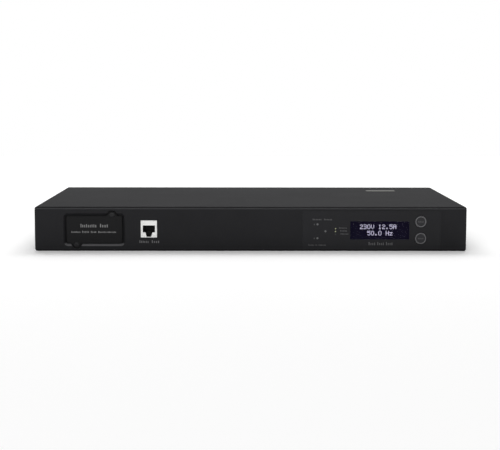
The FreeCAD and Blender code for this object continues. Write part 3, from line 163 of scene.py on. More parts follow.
# What every surface is made of, by the record's slot. Sizes of grain and patches are real millimetres.
finishes = {
    # polyester powder coat on steel, fine texture: matt, slightly pebbled, the lid's with next to no sheen
    "lid_paint": {
        # the lid's shades are paler than the tray's, partly painted sheen standing in for the gloss its low
        # specular leaves out
        "name": "texturedPowderCoatLid", "shades": ("#2a2a2b", "#313132"), "rough": (0.84, 0.92),
        "grainMm": 0.55, "grainDepthMm": 0.05, "patchMm": 60, "set": {"Specular IOR Level": 0.01},
    },
    "tray_paint": {
        "name": "texturedPowderCoatTray", "shades": ("#252526", "#2b2b2c"), "rough": (0.62, 0.74),
        "grainMm": 0.55, "grainDepthMm": 0.05, "patchMm": 60, "set": {"Specular IOR Level": 0.15},
    },
    # moulded ABS, fine spark-eroded grain: dark, even, a low soft sheen, painted highlight on the chamfers
    "bezel_plastic": {
        "name": "mouldedAbsBezel", "shades": ("#1b1b1d", "#212123"), "rough": (0.48, 0.58),
        # painted highlight: the paler shades of up-facing chamfers, the first low down and the second high up
        "chamferHighlights": ("#5c5c5e", "#363638"), "lowMm": 10, "highMm": 30,
        "grainMm": 0.4, "grainDepthMm": 0.02, "patchMm": 45, "set": {"Specular IOR Level": 0.07},
    },
    # screen-printed polycarbonate film with a velvet face: a little smoother than the bezel
    "overlay_film": {
        "name": "velvetPolycarbonateFilm", "shades": ("#18181a", "#1d1d20"), "rough": (0.38, 0.46),
        "grainMm": 0.25, "grainDepthMm": 0.006, "patchMm": 50, "set": {"Specular IOR Level": 0.1},
    },
    # tinted acrylic window, polished by its mould: clear and faintly violet. Its index is lower than the
    # 1.49 of acrylic, so that it mirrors less of the white room and stays as dark as the real one.
    "window_tint": {
        "name": "tintedAcrylicWindow", "shades": ("#bab8c8", "#c0bece"), "rough": (0.0, 0.02),
        "grainMm": 3.0, "grainDepthMm": 0.001, "patchMm": 25,
        "set": {"Transmission Weight": 1.0, "IOR": 1.07, "Specular IOR Level": 0.1},
    },
    # front glass of a negative LCD: black by itself, a dim violet where its backlight leaks through
    "lcd_glass": {
        "name": "negativeDisplayGlass", "shades": ("#020207", "#03030a"), "rough": (0.08, 0.14),
        "grainMm": 1.2, "grainDepthMm": 0.002, "patchMm": 18,
        "set": {"Specular IOR Level": 0.0, "Emission Color": srgb("#14121f"), "Emission Strength": 1.4},
    },
    # moulded diffuser sheet behind the glass: milky violet
    "backlight": {
        "name": "diffuserAcrylic", "shades": ("#8f8fc8", "#a0a0d4"), "rough": (0.5, 0.6),
        "grainMm": 0.8, "grainDepthMm": 0.01, "patchMm": 12,
        "set": {"Emission Color": srgb("#8080ff"), "Emission Strength": 0.15},
    },
    # zinc-plated steel, lightly drawn: grey with fine lines along X
    "bright_steel": {
        "name": "zincPlatedSteel", "shades": ("#a9abad", "#bcbec0"), "rough": (0.28, 0.42),
        "grainMm": 0.3, "stretch": (0.15, 1, 1), "grainDepthMm": 0.01, "patchMm": 8,
        "set": {"Metallic": 1.0},
    },
    # black-oxide steel screws: a dark, oily skin with a dull shine
    "black_steel": {
        "name": "blackOxideSteel", "shades": ("#1c1c1d", "#262628"), "rough": (0.38, 0.52),
        "grainMm": 0.2, "grainDepthMm": 0.008, "patchMm": 3, "set": {"Specular IOR Level": 0.14},
    },
    # moulded ABS of the keys, satin: a touch paler than the film round them
    "key_plastic": {
        "name": "satinAbsKey", "shades": ("#1f1f21", "#242427"), "rough": (0.42, 0.5),
        "grainMm": 0.25, "grainDepthMm": 0.01, "patchMm": 12, "set": {"Specular IOR Level": 0.16},
    },
    # clear polystyrene light pipes with frosted ends: pale and milky, the status row's a little yellower
    "lamp_plastic": {
        "name": "frostedLightPipe", "shades": ("#c4c8be", "#d0d4ca"), "rough": (0.4, 0.5),
        "grainMm": 0.3, "grainDepthMm": 0.01, "patchMm": 5, "set": {"Specular IOR Level": 0.3},
    },
    "status_plastic": {
        "name": "frostedStatusPipe", "shades": ("#ccd2b0", "#d8deb8"), "rough": (0.4, 0.5),
        "grainMm": 0.3, "grainDepthMm": 0.01, "patchMm": 5, "set": {"Specular IOR Level": 0.3},
    },
    # moulded polyester of the key switches: dull black, with brick-red nylon plungers
    "switch_plastic": {
        "name": "mouldedSwitchBody", "shades": ("#1b1b1b", "#222222"), "rough": (0.5, 0.6),
        "grainMm": 0.3, "grainDepthMm": 0.01, "patchMm": 6, "set": {"Specular IOR Level": 0.3},
    },
    "plunger_plastic": {
        "name": "mouldedNylonPlunger", "shades": ("#5a2420", "#652a24"), "rough": (0.5, 0.6),
        "grainMm": 0.3, "grainDepthMm": 0.01, "patchMm": 5, "set": {"Specular IOR Level": 0.3},
    },
    # pale grey PBT of the modular jack: clean, satin
    "jack_plastic": {
        "name": "mouldedPbtJack", "shades": ("#ececea", "#f2f2f0"), "rough": (0.4, 0.5),
        "grainMm": 0.3, "grainDepthMm": 0.008, "patchMm": 9, "set": {"Specular IOR Level": 0.3},
    },
    # gold flash on phosphor bronze: thin, bright and warm
    "gold_contact": {
        "name": "goldFlashedContact", "shades": ("#d6ac58", "#e6c070"), "rough": (0.18, 0.28),
        "grainMm": 0.2, "grainDepthMm": 0.004, "patchMm": 3, "set": {"Metallic": 1.0},
    },
    # green solder mask over glass-epoxy laminate: half gloss, the weave shows faintly
    "circuit_board": {
        "name": "solderMaskLaminate", "shades": ("#123a22", "#1d5530"), "rough": (0.3, 0.42),
        "grainMm": 0.6, "grainDepthMm": 0.02, "patchMm": 4, "set": {"Specular IOR Level": 0.4},
    },
    # undyed nylon of the card guides: milky and waxy
    "natural_nylon": {
        "name": "naturalNylonRail", "shades": ("#c8c6b6", "#d4d2c2"), "rough": (0.5, 0.62),
        "grainMm": 0.5, "grainDepthMm": 0.015, "patchMm": 15, "set": {"Specular IOR Level": 0.35},
    },
    # glass-filled nylon of connectors and frames: black and dull
    "black_mould": {
        "name": "glassFilledNylon", "shades": ("#121212", "#181818"), "rough": (0.55, 0.66),
        "grainMm": 0.35, "grainDepthMm": 0.015, "patchMm": 9, "set": {"Specular IOR Level": 0.1},
    },
    # flat cable: ribs of single wires across its width
    "ribbon_vinyl": {
        "name": "ribbedRibbonVinyl", "shades": ("#8a8c90", "#9a9ca0"), "rough": (0.5, 0.6),
        "grainMm": 1.0, "stretch": (1, 0.02, 0.02), "grainDepthMm": 0.12, "patchMm": 20,
        "set": {"Specular IOR Level": 0.3},
    },
    # moulded polyester case of the relays: smooth, half gloss
    "relay_case": {
        "name": "relayPolyesterCase", "shades": ("#1a1a1c", "#222224"), "rough": (0.28, 0.38),
        "grainMm": 0.4, "grainDepthMm": 0.01, "patchMm": 15, "set": {"Specular IOR Level": 0.45},
    },
    # potted case of the logic supplies: flat black
    "supply_case": {
        "name": "pottedSupplyCase", "shades": ("#181819", "#1f1f20"), "rough": (0.52, 0.64),
        "grainMm": 0.5, "grainDepthMm": 0.02, "patchMm": 20, "set": {"Specular IOR Level": 0.3},
    },
    # moulded case of the current sensor: strong blue, satin
    "sensor_case": {
        "name": "mouldedSensorCase", "shades": ("#1d3a78", "#244488"), "rough": (0.42, 0.52),
        "grainMm": 0.4, "grainDepthMm": 0.01, "patchMm": 10, "set": {"Specular IOR Level": 0.35},
    },
    # bare copper, warm with darker handling marks
    "copper": {
        "name": "bareCopper", "shades": ("#b06a48", "#d08a66"), "rough": (0.26, 0.4),
        "grainMm": 0.4, "stretch": (0.1, 1, 1), "grainDepthMm": 0.01, "patchMm": 7,
        "set": {"Metallic": 1.0},
    },
    # shrunk vinyl sleeve of the capacitors: tight, dark blue, glossy
    "capacitor_sleeve": {
        "name": "shrinkSleeve", "shades": ("#22264a", "#2a2f58"), "rough": (0.26, 0.34),
        "grainMm": 0.6, "grainDepthMm": 0.01, "patchMm": 8, "set": {"Specular IOR Level": 0.45},
    },
    # dipped epoxy of the varistors: bright blue, a little lumpy
    "varistor_coat": {
        "name": "dippedEpoxyCoat", "shades": ("#1b4a88", "#225a9c"), "rough": (0.3, 0.4),
        "grainMm": 0.9, "grainDepthMm": 0.04, "patchMm": 5, "set": {"Specular IOR Level": 0.45},
    },
    # epoxy that chips are moulded in: charcoal, finely gritty
    "chip_mould": {
        "name": "chipEpoxy", "shades": ("#141414", "#1b1b1b"), "rough": (0.5, 0.6),
        "grainMm": 0.3, "grainDepthMm": 0.008, "patchMm": 5, "set": {"Specular IOR Level": 0.3},
    },
    # polyamide of the terminal blocks: mid green, satin
    "terminal_mould": {
        "name": "greenPolyamideTerminal", "shades": ("#1d5c38", "#256a42"), "rough": (0.42, 0.52),
        "grainMm": 0.35, "grainDepthMm": 0.01, "patchMm": 8, "set": {"Specular IOR Level": 0.35},
    },
    # nickel-plated brass of blades and tabs: warm silver, drawn along Y
    "nickel_brass": {
        "name": "nickelPlatedBrass", "shades": ("#bdb8ac", "#cfcabe"), "rough": (0.22, 0.32),
        "grainMm": 0.25, "stretch": (1, 0.15, 1), "grainDepthMm": 0.006, "patchMm": 5,
        "set": {"Metallic": 1.0},
    },
    # extruded vinyl insulation of the leads: black, smooth along its length
    "wire_vinyl": {
        "name": "extrudedWireVinyl", "shades": ("#1d1d1f", "#262628"), "rough": (0.4, 0.5),
        "grainMm": 0.6, "stretch": (1, 0.1, 1), "grainDepthMm": 0.01, "patchMm": 9,
        "set": {"Specular IOR Level": 0.35},
    },
    # glass-filled nylon of the mains sockets: deep black, faint flow marks
    "socket_mould": {
        "name": "mouldedNylonSocket", "shades": ("#141415", "#1a1a1b"), "rough": (0.4, 0.52),
        "grainMm": 0.4, "grainDepthMm": 0.012, "patchMm": 14, "set": {"Specular IOR Level": 0.3},
    },
    # turned brass pillars under the boards: yellow, with fine rings from the lathe
    "spacer_brass": {
        "name": "turnedBrassPillar", "shades": ("#b09040", "#c4a454"), "rough": (0.24, 0.34),
        "grainMm": 0.2, "stretch": (1, 1, 3), "grainDepthMm": 0.006, "patchMm": 4,
        "set": {"Metallic": 1.0},
    },
    # blank paper label on the lid, slightly fibrous
    "sticker_paper": {
        "name": "matPaperLabel", "shades": ("#70706e", "#7c7c7a"), "rough": (0.9, 1.0),
        "grainMm": 0.25, "grainDepthMm": 0.01, "patchMm": 6, "set": {"Specular IOR Level": 0.0},
    },
}

# Inks, dots and lamps that the record has no slot for
screenInk = {
    # a thin layer of screen-printed ink, a touch rougher than what it lies on
    "rough": (0.55, 0.65), "grainMm": 0.12, "grainDepthMm": 0.004, "patchMm": 2,
    "set": {"Specular IOR Level": 0.15},
}
spotFilm = {
    # the film's clear spot over a lamp, printed from behind: smooth and flat
    "rough": (0.35, 0.45), "grainMm": 0.3, "grainDepthMm": 0.01, "patchMm": 2,
    "set": {"Specular IOR Level": 0.25},
}
extraFinishes = {
    "printInk": {**screenInk, "name": "greyScreenInk", "shades": ("#7c7c7c", "#8a8a8a")},
    "printDim": {**screenInk, "name": "dimScreenInk", "shades": ("#646465", "#6e6e6f")},
    "printFaint": {**screenInk, "name": "faintScreenInk", "shades": ("#525253", "#5c5c5d")},
    "printBright": {**screenInk, "name": "paleScreenInk", "shades": ("#787878", "#848484")},
    # the cover of the slot: a finer grain than the bezel's, and a little darker
    "coverPlastic": {
        "name": "mouldedAbsCover", "shades": ("#151516", "#1a1a1b"), "rough": (0.5, 0.6),
        "grainMm": 0.3, "grainDepthMm": 0.015, "patchMm": 30, "set": {"Specular IOR Level": 0.07},
    },
    # band printed round the key caps: mid grey, smooth
    "keyRing": {
        "name": "greyKeyRing", "shades": ("#6a6a6c", "#767678"), "rough": (0.4, 0.5),
        "grainMm": 0.2, "grainDepthMm": 0.006, "patchMm": 4, "set": {"Specular IOR Level": 0.2},
    },
    # dots of the display: their pale lavender is the backlight's, so they are dark by themselves
    "litDots": {
        "name": "litDisplayDots", "shades": ("#2c2a38", "#343242"), "rough": (0.5, 0.6),
        "grainMm": 0.4, "grainDepthMm": 0.002, "patchMm": 6,
        "set": {"Specular IOR Level": 0.1, "Emission Color": srgb("#f0eef6"), "Emission Strength": 2.0},
    },
    "lampUnlit": {**spotFilm, "name": "unlitLampWindow", "shades": ("#545556", "#606162")},
    "lampDark": {**spotFilm, "name": "darkLampWindow", "shades": ("#2e2e30", "#363638")},
    "lampLit": {
        **spotFilm, "name": "litLampWindow", "shades": ("#a8aa8c", "#b8ba9a"),
        "set": {"Specular IOR Level": 0.25, "Emission Color": srgb("#d8e090"), "Emission Strength": 0.15},
    },
    # hard brass of the contact springs: yellow, rolled bright
    "springBrass": {
        "name": "springBrass", "shades": ("#b89248", "#ccaa60"), "rough": (0.22, 0.34),
        "grainMm": 0.25, "grainDepthMm": 0.006, "patchMm": 4, "set": {"Metallic": 1.0},
    },
}

finishOf = {slot: makeFinish(look) for slot, look in finishes.items()}
extraOf = {name: makeFinish(look) for name, look in extraFinishes.items()}

for part in frame["record"]["subparts"]:
    for slot in nodes[part["node"]].material_slots:
        slot.material = finishOf[part["material_slot"]]
for slot in nodes["blank_cover"].material_slots:
    slot.material = extraOf["coverPlastic"]
print("stage: materials on", len(nodes), "CAD nodes")


# Making pieces

def only(piece):
    # leaves edit mode and selects one piece alone
    if bpy.context.object and bpy.context.object.mode != "OBJECT":
        bpy.ops.object.mode_set(mode="OBJECT")
    bpy.ops.object.select_all(action="DESELECT")
    piece.select_set(True)
    bpy.context.view_layer.objects.active = piece


def settle(piece):
    # the piece's place, turn and size go into its mesh
    only(piece)
    bpy.ops.object.transform_apply(location=True, rotation=True, scale=True)


def joinAll(pieces):
    only(pieces[0])
    for piece in pieces[1:]:
        piece.select_set(True)
    if len(pieces) > 1:
        bpy.ops.object.join()
    return pieces[0]


def editFaces(piece, test):
    # enters edit mode and selects the faces whose middle and direction pass the test
    only(piece)
    bpy.ops.object.mode_set(mode="EDIT")
    bpy.ops.mesh.select_mode(type="FACE")
    bpy.ops.mesh.select_all(action="DESELECT")
    mesh = bmesh.from_edit_mesh(piece.data)
    for face in mesh.faces:
        if test(face.calc_center_median(), face.normal):
            face.select_set(True)
    mesh.select_flush_mode()
    bmesh.update_edit_mesh(piece.data)


def editEdges(piece, test):
    # the same for edges, with their middle and their two ends
    only(piece)
    bpy.ops.object.mode_set(mode="EDIT")
    bpy.ops.mesh.select_mode(type="EDGE")
    bpy.ops.mesh.select_all(action="DESELECT")
    mesh = bmesh.from_edit_mesh(piece.data)
    for edge in mesh.edges:
        a, b = edge.verts[0].co, edge.verts[1].co
        if test((a + b) / 2, a, b):
            edge.select_set(True)
    mesh.select_flush_mode()
    bmesh.update_edit_mesh(piece.data)


def leaveEdit():
    bpy.ops.object.mode_set(mode="OBJECT")


def useModifier(piece, kind, settings):
    only(piece)
    modifier = piece.modifiers.new("shape", kind)
    for name, value in settings.items():
        setattr(modifier, name, value)
    bpy.ops.object.modifier_apply(modifier=modifier.name)


def giveFinish(piece, *materials):
    piece.data.materials.clear()
    for material in materials:
        piece.data.materials.append(material)


def hand(piece, name, body):
    # names the finished piece, lets it ride, and prints how many faces it has
    piece.name = name
    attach(piece, body)
    print("piece:", name, len(piece.data.polygons), "faces")


upright = (math.radians(90), 0, 0)  # turns a flat or round primitive to look to the front


def frontPlane(x, z, y, width, height):
    # a flat sheet that looks to the front; y is in metres, the rest in millimetres
    bpy.ops.object.select_all(action="DESELECT")
    bpy.ops.mesh.primitive_plane_add(size=1, location=(x * mm, y, z * mm), rotation=upright)
    piece = bpy.context.object
    piece.scale = (width * mm, height * mm, 1)
    settle(piece)
    return piece


def inkBlocks(blocks, look):
    # flat blocks become one layer of ink, with rounded corners and a little thickness
    field = joinAll(blocks)
    only(field)
    bpy.ops.object.mode_set(mode="EDIT")
    bpy.ops.mesh.select_all(action="SELECT")
    bpy.ops.mesh.bevel(offset=look["round"] * mm, affect="VERTICES", segments=2)
    leaveEdit()
    useModifier(field, "SOLIDIFY", {"thickness": look["thick"] * mm, "offset": 1})
    giveFinish(field, extraOf[look["ink"]])
    return field


# Print on the front: rows of plain upright blocks, which can't be read. A word is (left, right, foot, height,
# number of blocks) in millimetres.
frontPrint = {
    "blockShare": 0.48,  # how much of a block's pitch is inked
    # heights after a word's first block, which has the word's full height
    "heights": (0.82, 0.7, 0.76, 0.7, 0.88, 0.7, 0.7, 0.8),
    "fields": {
        "cover_title": {
            "on": "blank_cover", "ink": "printBright", "thick": 0.03, "round": 0.12, "slot": "bezel_plastic",
            "words": ((-171.0, -154.4, 23.7, 3.6, 9), (-151.6, -142.7, 23.7, 3.6, 4)),
        },
        "cover_line": {
            "on": "blank_cover", "ink": "printInk", "thick": 0.03, "round": 0.08, "slot": "bezel_plastic",
            "words": ((-180.0, -170.6, 18.2, 1.9, 8), (-169.2, -161.9, 18.2, 2.2, 5),
                      (-160.6, -154.6, 18.2, 1.9, 4), (-153.2, -134.9, 18.2, 1.8, 15)),
        },
        "jack_legend": {
            "on": "front_bezel", "ink": "printDim", "thick": 0.03, "round": 0.1, "slot": "bezel_plastic",
            "words": ((-112.0, -102.2, 8.1, 2.8, 6), (-99.8, -91.5, 8.1, 2.8, 4)),
        },
        "lamp_legends": {
            "on": "control_overlay", "ink": "printFaint", "thick": 0.02, "round": 0.08,
            "slot": "overlay_film",
            "words": ((61.6, 70.9, 31.1, 1.6, 6), (72.9, 81.5, 31.1, 1.6, 6), (57.7, 63.6, 5.4, 1.5, 5),
                      (64.8, 66.6, 5.4, 1.5, 2), (67.8, 75.6, 5.4, 1.5, 6), (88.2, 96.3, 22.7, 1.4, 6),
                      (89.4, 96.6, 19.8, 1.4, 5), (89.8, 98.0, 16.7, 1.4, 6), (62.9, 64.2, 26.1, 1.4, 1),
                      (62.9, 64.2, 12.1, 1.4, 1)),
        },
        "display_legend": {
            "on": "control_overlay", "ink": "printFaint", "thick": 0.02, "round": 0.12,
            "slot": "overlay_film",
            "words": ((117.8, 125.2, 6.0, 3.2, 4), (126.5, 133.9, 6.0, 3.2, 4), (135.2, 142.6, 6.0, 3.2, 4)),
        },
    },
}


def inkField(name, look):
    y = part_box(look["on"])[0][1]
    heights = frontPrint["heights"]
    blocks = []
    for left, right, foot, tall, count in look["words"]:
        pitch = (right - left) / count
        for i in range(count):
            high = tall * (1.0 if i == 0 else heights[(i + count) % len(heights)])
            blocks.append(frontPlane(left + (i + 0.5) * pitch, foot + high / 2, y,
                                     pitch * frontPrint["blockShare"], high))
    hand(inkBlocks(blocks, look), "print_" + name, "chassis")


for name, look in frontPrint["fields"].items():
    inkField(name, look)
print("stage: print")


# Lamp windows: small discs on the film with a raised middle
lampWindows = {
    "sides": 28, "rim": 0.3, "raised": 0.03, "thick": 0.02,  # the rim is a share of the radius
    "groups": {
        "sources": {"radius": 1.0, "places": ((66.8, 27.0), (66.8, 13.0), (74.8, 20.0)),
                    "finish": "lampUnlit", "slot": "lamp_plastic"},
        "statusLit": {"radius": 0.5, "places": ((84.9, 22.7), (84.9, 19.8)),
                      "finish": "lampLit", "slot": "status_plastic"},
        "statusDark": {"radius": 0.5, "places": ((84.9, 16.9),),
                       "finish": "lampDark", "slot": "status_plastic"},
    },
}


def lampDiscs(name, look):
    discs = []
    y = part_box("control_overlay")[0][1]
    for x, z in look["places"]:
        bpy.ops.object.select_all(action="DESELECT")
        bpy.ops.mesh.primitive_circle_add(vertices=lampWindows["sides"], radius=look["radius"] * mm,
                                          fill_type="NGON", location=(x * mm, y, z * mm), rotation=upright)
        settle(bpy.context.object)
        discs.append(bpy.context.object)
    piece = joinAll(discs)
    editFaces(piece, lambda at, facing: True)
    bpy.ops.mesh.inset(thickness=look["radius"] * lampWindows["rim"] * mm, use_individual=True)
    bpy.ops.transform.translate(value=(0, -lampWindows["raised"] * mm, 0))
    leaveEdit()
    useModifier(piece, "SOLIDIFY", {"thickness": lampWindows["thick"] * mm, "offset": 1})
    giveFinish(piece, extraOf[look["finish"]])
    hand(piece, name, "chassis")


for name, look in lampWindows["groups"].items():
    lampDiscs("lamp_window_" + name, look)
print("stage: lamp windows")


# Characters of the display: five by seven dots each, cut out of one grid a row
readout = {
    "dotWide": 0.62, "dotHigh": 0.66, "gap": 0.07, "thick": 0.04, "clear": 0.02,
    "columns": 6, "lines": 7,  # of one character, with the empty column after it
    "rows": (("230V 12.5A", 109.7, 26.4), ("50.0 Hz", 117.2, 20.0)),  # words, left edge, top edge
}
dots = {  # lines of dots from the top down, 1 is lit
    "0": "01110 10001 10001 10001 10001 10001 01110", "1": "00100 01100 00100 00100 00100 00100 01110",
    "2": "01110 10001 00001 00110 01000 10000 11111", "3": "11110 00001 00001 01110 00001 00001 11110",
    "5": "11111 10000 11110 00001 00001 10001 01110", "V": "10001 10001 10001 10001 10001 01010 00100",
    "A": "01110 10001 10001 11111 10001 10001 10001", "H": "10001 10001 10001 11111 10001 10001 10001",
    "z": "00000 00000 11111 00010 00100 01000 11111", ".": "00000 00000 00000 00000 00000 01100 01100",
    " ": "00000 00000 00000 00000 00000 00000 00000",
}


def characterRow(words, left, top):
    perLetter, lines = readout["columns"], readout["lines"]
    columns = perLetter * len(words)
    wide, high = readout["dotWide"] * columns, readout["dotHigh"] * lines
    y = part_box("display_glass")[0][1] - (readout["thick"] + readout["clear"]) * mm
    bpy.ops.object.select_all(action="DESELECT")
    bpy.ops.mesh.primitive_grid_add(x_subdivisions=columns, y_subdivisions=lines, size=1,
                                    location=((left + wide / 2) * mm, y, (top - high / 2) * mm),
                                    rotation=upright)
    row = bpy.context.object
    row.scale = (wide * mm, high * mm, 1)
    settle(row)

    def unlit(at, facing):
        column = int((at.x / mm - left) / readout["dotWide"])
        line = int((top - at.z / mm) / readout["dotHigh"])
        letter = dots[words[column // perLetter]].split()
        return column % perLetter == perLetter - 1 or letter[line][column % perLetter] == "0"

    editFaces(row, unlit)
    bpy.ops.mesh.delete(type="FACE")
    bpy.ops.mesh.select_all(action="SELECT")
    bpy.ops.mesh.inset(thickness=readout["gap"] * mm, use_individual=True)
    bpy.ops.mesh.select_all(action="INVERT")
    bpy.ops.mesh.delete(type="FACE")
    leaveEdit()
    return row


characters = joinAll([characterRow(*row) for row in readout["rows"]])
useModifier(characters, "SOLIDIFY", {"thickness": readout["thick"] * mm, "offset": 0})
giveFinish(characters, extraOf["litDots"])
hand(characters, "display_characters", "chassis")
print("stage: display")


# Keys: a round cap with a grey band round its edge, a shallow dish and a short mark
keyShape = {
    "radius": 5.6, "sides": 72, "capDeep": 3.05,  # from the cap's face to the collar behind the bezel
    "edge": 0.3, "band": 0.65, "dishWall": 0.3, "dish": 0.12,
    "collarAcross": 13.0, "collarDeep": 0.8, "collarEdge": 0.12, "collarTurn": 30,
    "stemWide": 3.0, "stemEdge": 0.25,
    "mark": {"wide": 5.6, "high": 1.5, "heights": (1.0, 0.7, 0.95, 0.7, 0.7, 0.85), "blockShare": 0.55,
             "raised": 0.01, "round": 0.15, "thick": 0.02, "ink": "printFaint"},
}


def keyCap(place, front):
    # a bevelled disc, inset twice: the first step leaves the band, the second sinks the dish
    radius, edge = keyShape["radius"] * mm, keyShape["edge"] * mm
    band, deep = keyShape["band"] * mm, keyShape["capDeep"] * mm
    bpy.ops.object.select_all(action="DESELECT")
    bpy.ops.mesh.primitive_cylinder_add(vertices=keyShape["sides"], radius=radius, depth=deep,
                                        location=(place.x, front + deep / 2, place.z), rotation=upright)
    cap = bpy.context.object
    settle(cap)
    giveFinish(cap, finishOf["key_plastic"], extraOf["keyRing"], extraOf["printFaint"])
    editFaces(cap, lambda at, facing: facing.y < -square)
    bpy.ops.mesh.inset(thickness=edge)
    leaveEdit()
    editEdges(cap, lambda at, a, b: abs(at.y - front) < hair and (at - place).xz.length > radius - edge / 4)
    bpy.ops.transform.translate(value=(0, edge, 0))
    leaveEdit()
    editFaces(cap, lambda at, facing: facing.y < -square and (at - place).xz.length < radius / 2)
    bpy.ops.mesh.inset(thickness=band)
    bpy.ops.mesh.inset(thickness=keyShape["dishWall"] * mm)
    bpy.ops.transform.translate(value=(0, keyShape["dish"] * mm, 0))
    leaveEdit()
    editFaces(cap, lambda at, facing: facing.y < -square
              and radius - edge - band < (at - place).xz.length < radius - edge)
    cap.active_material_index = 1
    bpy.ops.object.material_slot_assign()
    leaveEdit()
    return cap


def keyCollar(place, front):
    # six-sided, so that it can't turn behind the bezel
    deep = keyShape["collarDeep"] * mm
    bpy.ops.object.select_all(action="DESELECT")
    bpy.ops.mesh.primitive_cylinder_add(vertices=6, radius=keyShape["collarAcross"] * mm / math.sqrt(3),
                                        depth=deep, location=(place.x, front + deep / 2, place.z),
                                        rotation=(upright[0], math.radians(keyShape["collarTurn"]), 0))
    collar = bpy.context.object
    settle(collar)
    editEdges(collar, lambda at, a, b: abs(a.y - b.y) < hair)
    bpy.ops.mesh.bevel(offset=keyShape["collarEdge"] * mm, segments=1)
    leaveEdit()
    return collar


def keyStem(place, front, back):
    bpy.ops.object.select_all(action="DESELECT")
    bpy.ops.mesh.primitive_cube_add(size=1, location=(place.x, (front + back) / 2, place.z))
    stem = bpy.context.object
    stem.scale = (keyShape["stemWide"] * mm, back - front, keyShape["stemWide"] * mm)
    settle(stem)
    editEdges(stem, lambda at, a, b: abs(a.y - b.y) > hair)
    bpy.ops.mesh.bevel(offset=keyShape["stemEdge"] * mm, segments=2)
    leaveEdit()
    return stem


def keyMark(place, front):
    # a short row of blocks, centred in the dish
    look = keyShape["mark"]
    count = len(look["heights"])
    pitch = look["wide"] / count
    blocks = []
    for i, share in enumerate(look["heights"]):
        high = look["high"] * share
        blocks.append(frontPlane(place.x / mm + (i + 0.5 - count / 2) * pitch,
                                 place.z / mm + (high - look["high"]) / 2,
                                 front + (keyShape["dish"] - look["raised"]) * mm,
                                 look["blockShare"] * pitch, high))
    return inkBlocks(blocks, look)


def roundKey(name, nodeName, body):
    low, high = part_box(nodeName)
    place = middle(nodeName)
    collarFront = low[1] + keyShape["capDeep"] * mm
    stemFront = collarFront + keyShape["collarDeep"] * mm
    piece = joinAll([keyCap(place, low[1]), keyCollar(place, collarFront),
                     keyStem(place, stemFront, high[1]), keyMark(place, low[1])])
    hand(piece, name, body)
    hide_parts(nodeName)


roundKey("select_key_cap", "select_key", "select_button")
roundKey("enter_key_cap", "enter_key", "enter_button")
print("stage: keys")


# Screws with a cross recess, each modelled once and copied to its places. A dome of 0 is a countersunk head,
# and turns are those of the recess, in degrees.
crossScrews = {
    "cover_screws": {
        "node": "blank_cover_screws", "slot": "black_steel", "headRadius": 2.5, "headHigh": 1.6, "dome": 0.8,
        "shankRadius": 1.4, "shankLong": 8.2, "recessWide": 0.72, "recessLong": 2.9, "recessDeep": 1.0,
        "turns": (20, 52),
    },
    "lid_screws_cross": {
        "node": "lid_screws", "slot": "black_steel", "headRadius": 2.7, "headHigh": 1.2, "dome": 0.0,
        "shankRadius": 1.4, "shankLong": 3.7, "recessWide": 0.72, "recessLong": 2.9, "recessDeep": 0.9,
        "turns": (15, 46),
    },
    "earth_screw_cross": {
        "node": "earth_screw", "slot": "bright_steel", "headRadius": 4.0, "headHigh": 2.4, "dome": 1.1,
        "shankRadius": 1.9, "shankLong": 9.6, "recessWide": 1.0, "recessLong": 4.4, "recessDeep": 1.5,
        "turns": (30,),
    },
}
screwDetail = {
    "headSides": 40, "shankSides": 24, "flatRim": 0.12, "domeSteps": 5, "tip": 0.3,
    "overlap": 0.1,  # how far the shank reaches into the head
    "recessFoot": (0.35, 1, 0.8),  # the recess narrows to this share at its foot
    "smoothBelow": 35,  # degrees
}


def crossScrew(look):
    # a head on the origin that looks to the front, its seat at y = 0 and its shank behind
    headRadius, headHigh = look["headRadius"] * mm, look["headHigh"] * mm
    shankRadius, shankLong = look["shankRadius"] * mm, look["shankLong"] * mm
    overlap = screwDetail["overlap"] * mm
    flat = look["dome"] == 0.0
    bpy.ops.object.select_all(action="DESELECT")
    if flat:
        bpy.ops.mesh.primitive_cone_add(vertices=screwDetail["headSides"], radius1=shankRadius,
                                        radius2=headRadius, depth=headHigh,
                                        location=(0, -headHigh / 2, 0), rotation=upright)
    else:
        bpy.ops.mesh.primitive_cylinder_add(vertices=screwDetail["headSides"], radius=headRadius,
                                            depth=headHigh, location=(0, -headHigh / 2, 0),
                                            rotation=upright)
    head = bpy.context.object
    settle(head)
    editEdges(head, lambda at, a, b: max(a.y, b.y) < -headHigh + hair)
    bpy.ops.mesh.bevel(offset=(look["dome"] or screwDetail["flatRim"]) * mm,
                       segments=1 if flat else screwDetail["domeSteps"], profile=0.5)
    leaveEdit()
    cutters = []
    for turn in (0, 90):
        bpy.ops.object.select_all(action="DESELECT")
        bpy.ops.mesh.primitive_cube_add(size=1, location=(0, -headHigh, 0))
        cutter = bpy.context.object
        cutter.scale = (look["recessLong"] * mm, 2 * look["recessDeep"] * mm, look["recessWide"] * mm)
        settle(cutter)
        editFaces(cutter, lambda at, facing: facing.y > square)
        bpy.ops.transform.resize(value=screwDetail["recessFoot"])
        leaveEdit()
        cutter.rotation_euler = (0, math.radians(turn), 0)
        settle(cutter)
        cutters.append(cutter)
    for cutter in cutters:
        useModifier(head, "BOOLEAN", {"object": cutter, "operation": "DIFFERENCE", "solver": "EXACT"})
        bpy.data.objects.remove(cutter)
    bpy.ops.object.select_all(action="DESELECT")
    bpy.ops.mesh.primitive_cylinder_add(vertices=screwDetail["shankSides"], radius=shankRadius,
                                        depth=shankLong, location=(0, shankLong / 2 - overlap, 0),
                                        rotation=upright)
    shank = bpy.context.object
    settle(shank)
    editEdges(shank, lambda at, a, b: min(a.y, b.y) > shankLong - 2 * overlap)
    bpy.ops.mesh.bevel(offset=screwDetail["tip"] * mm, segments=1)
    leaveEdit()
    return joinAll([head, shank])


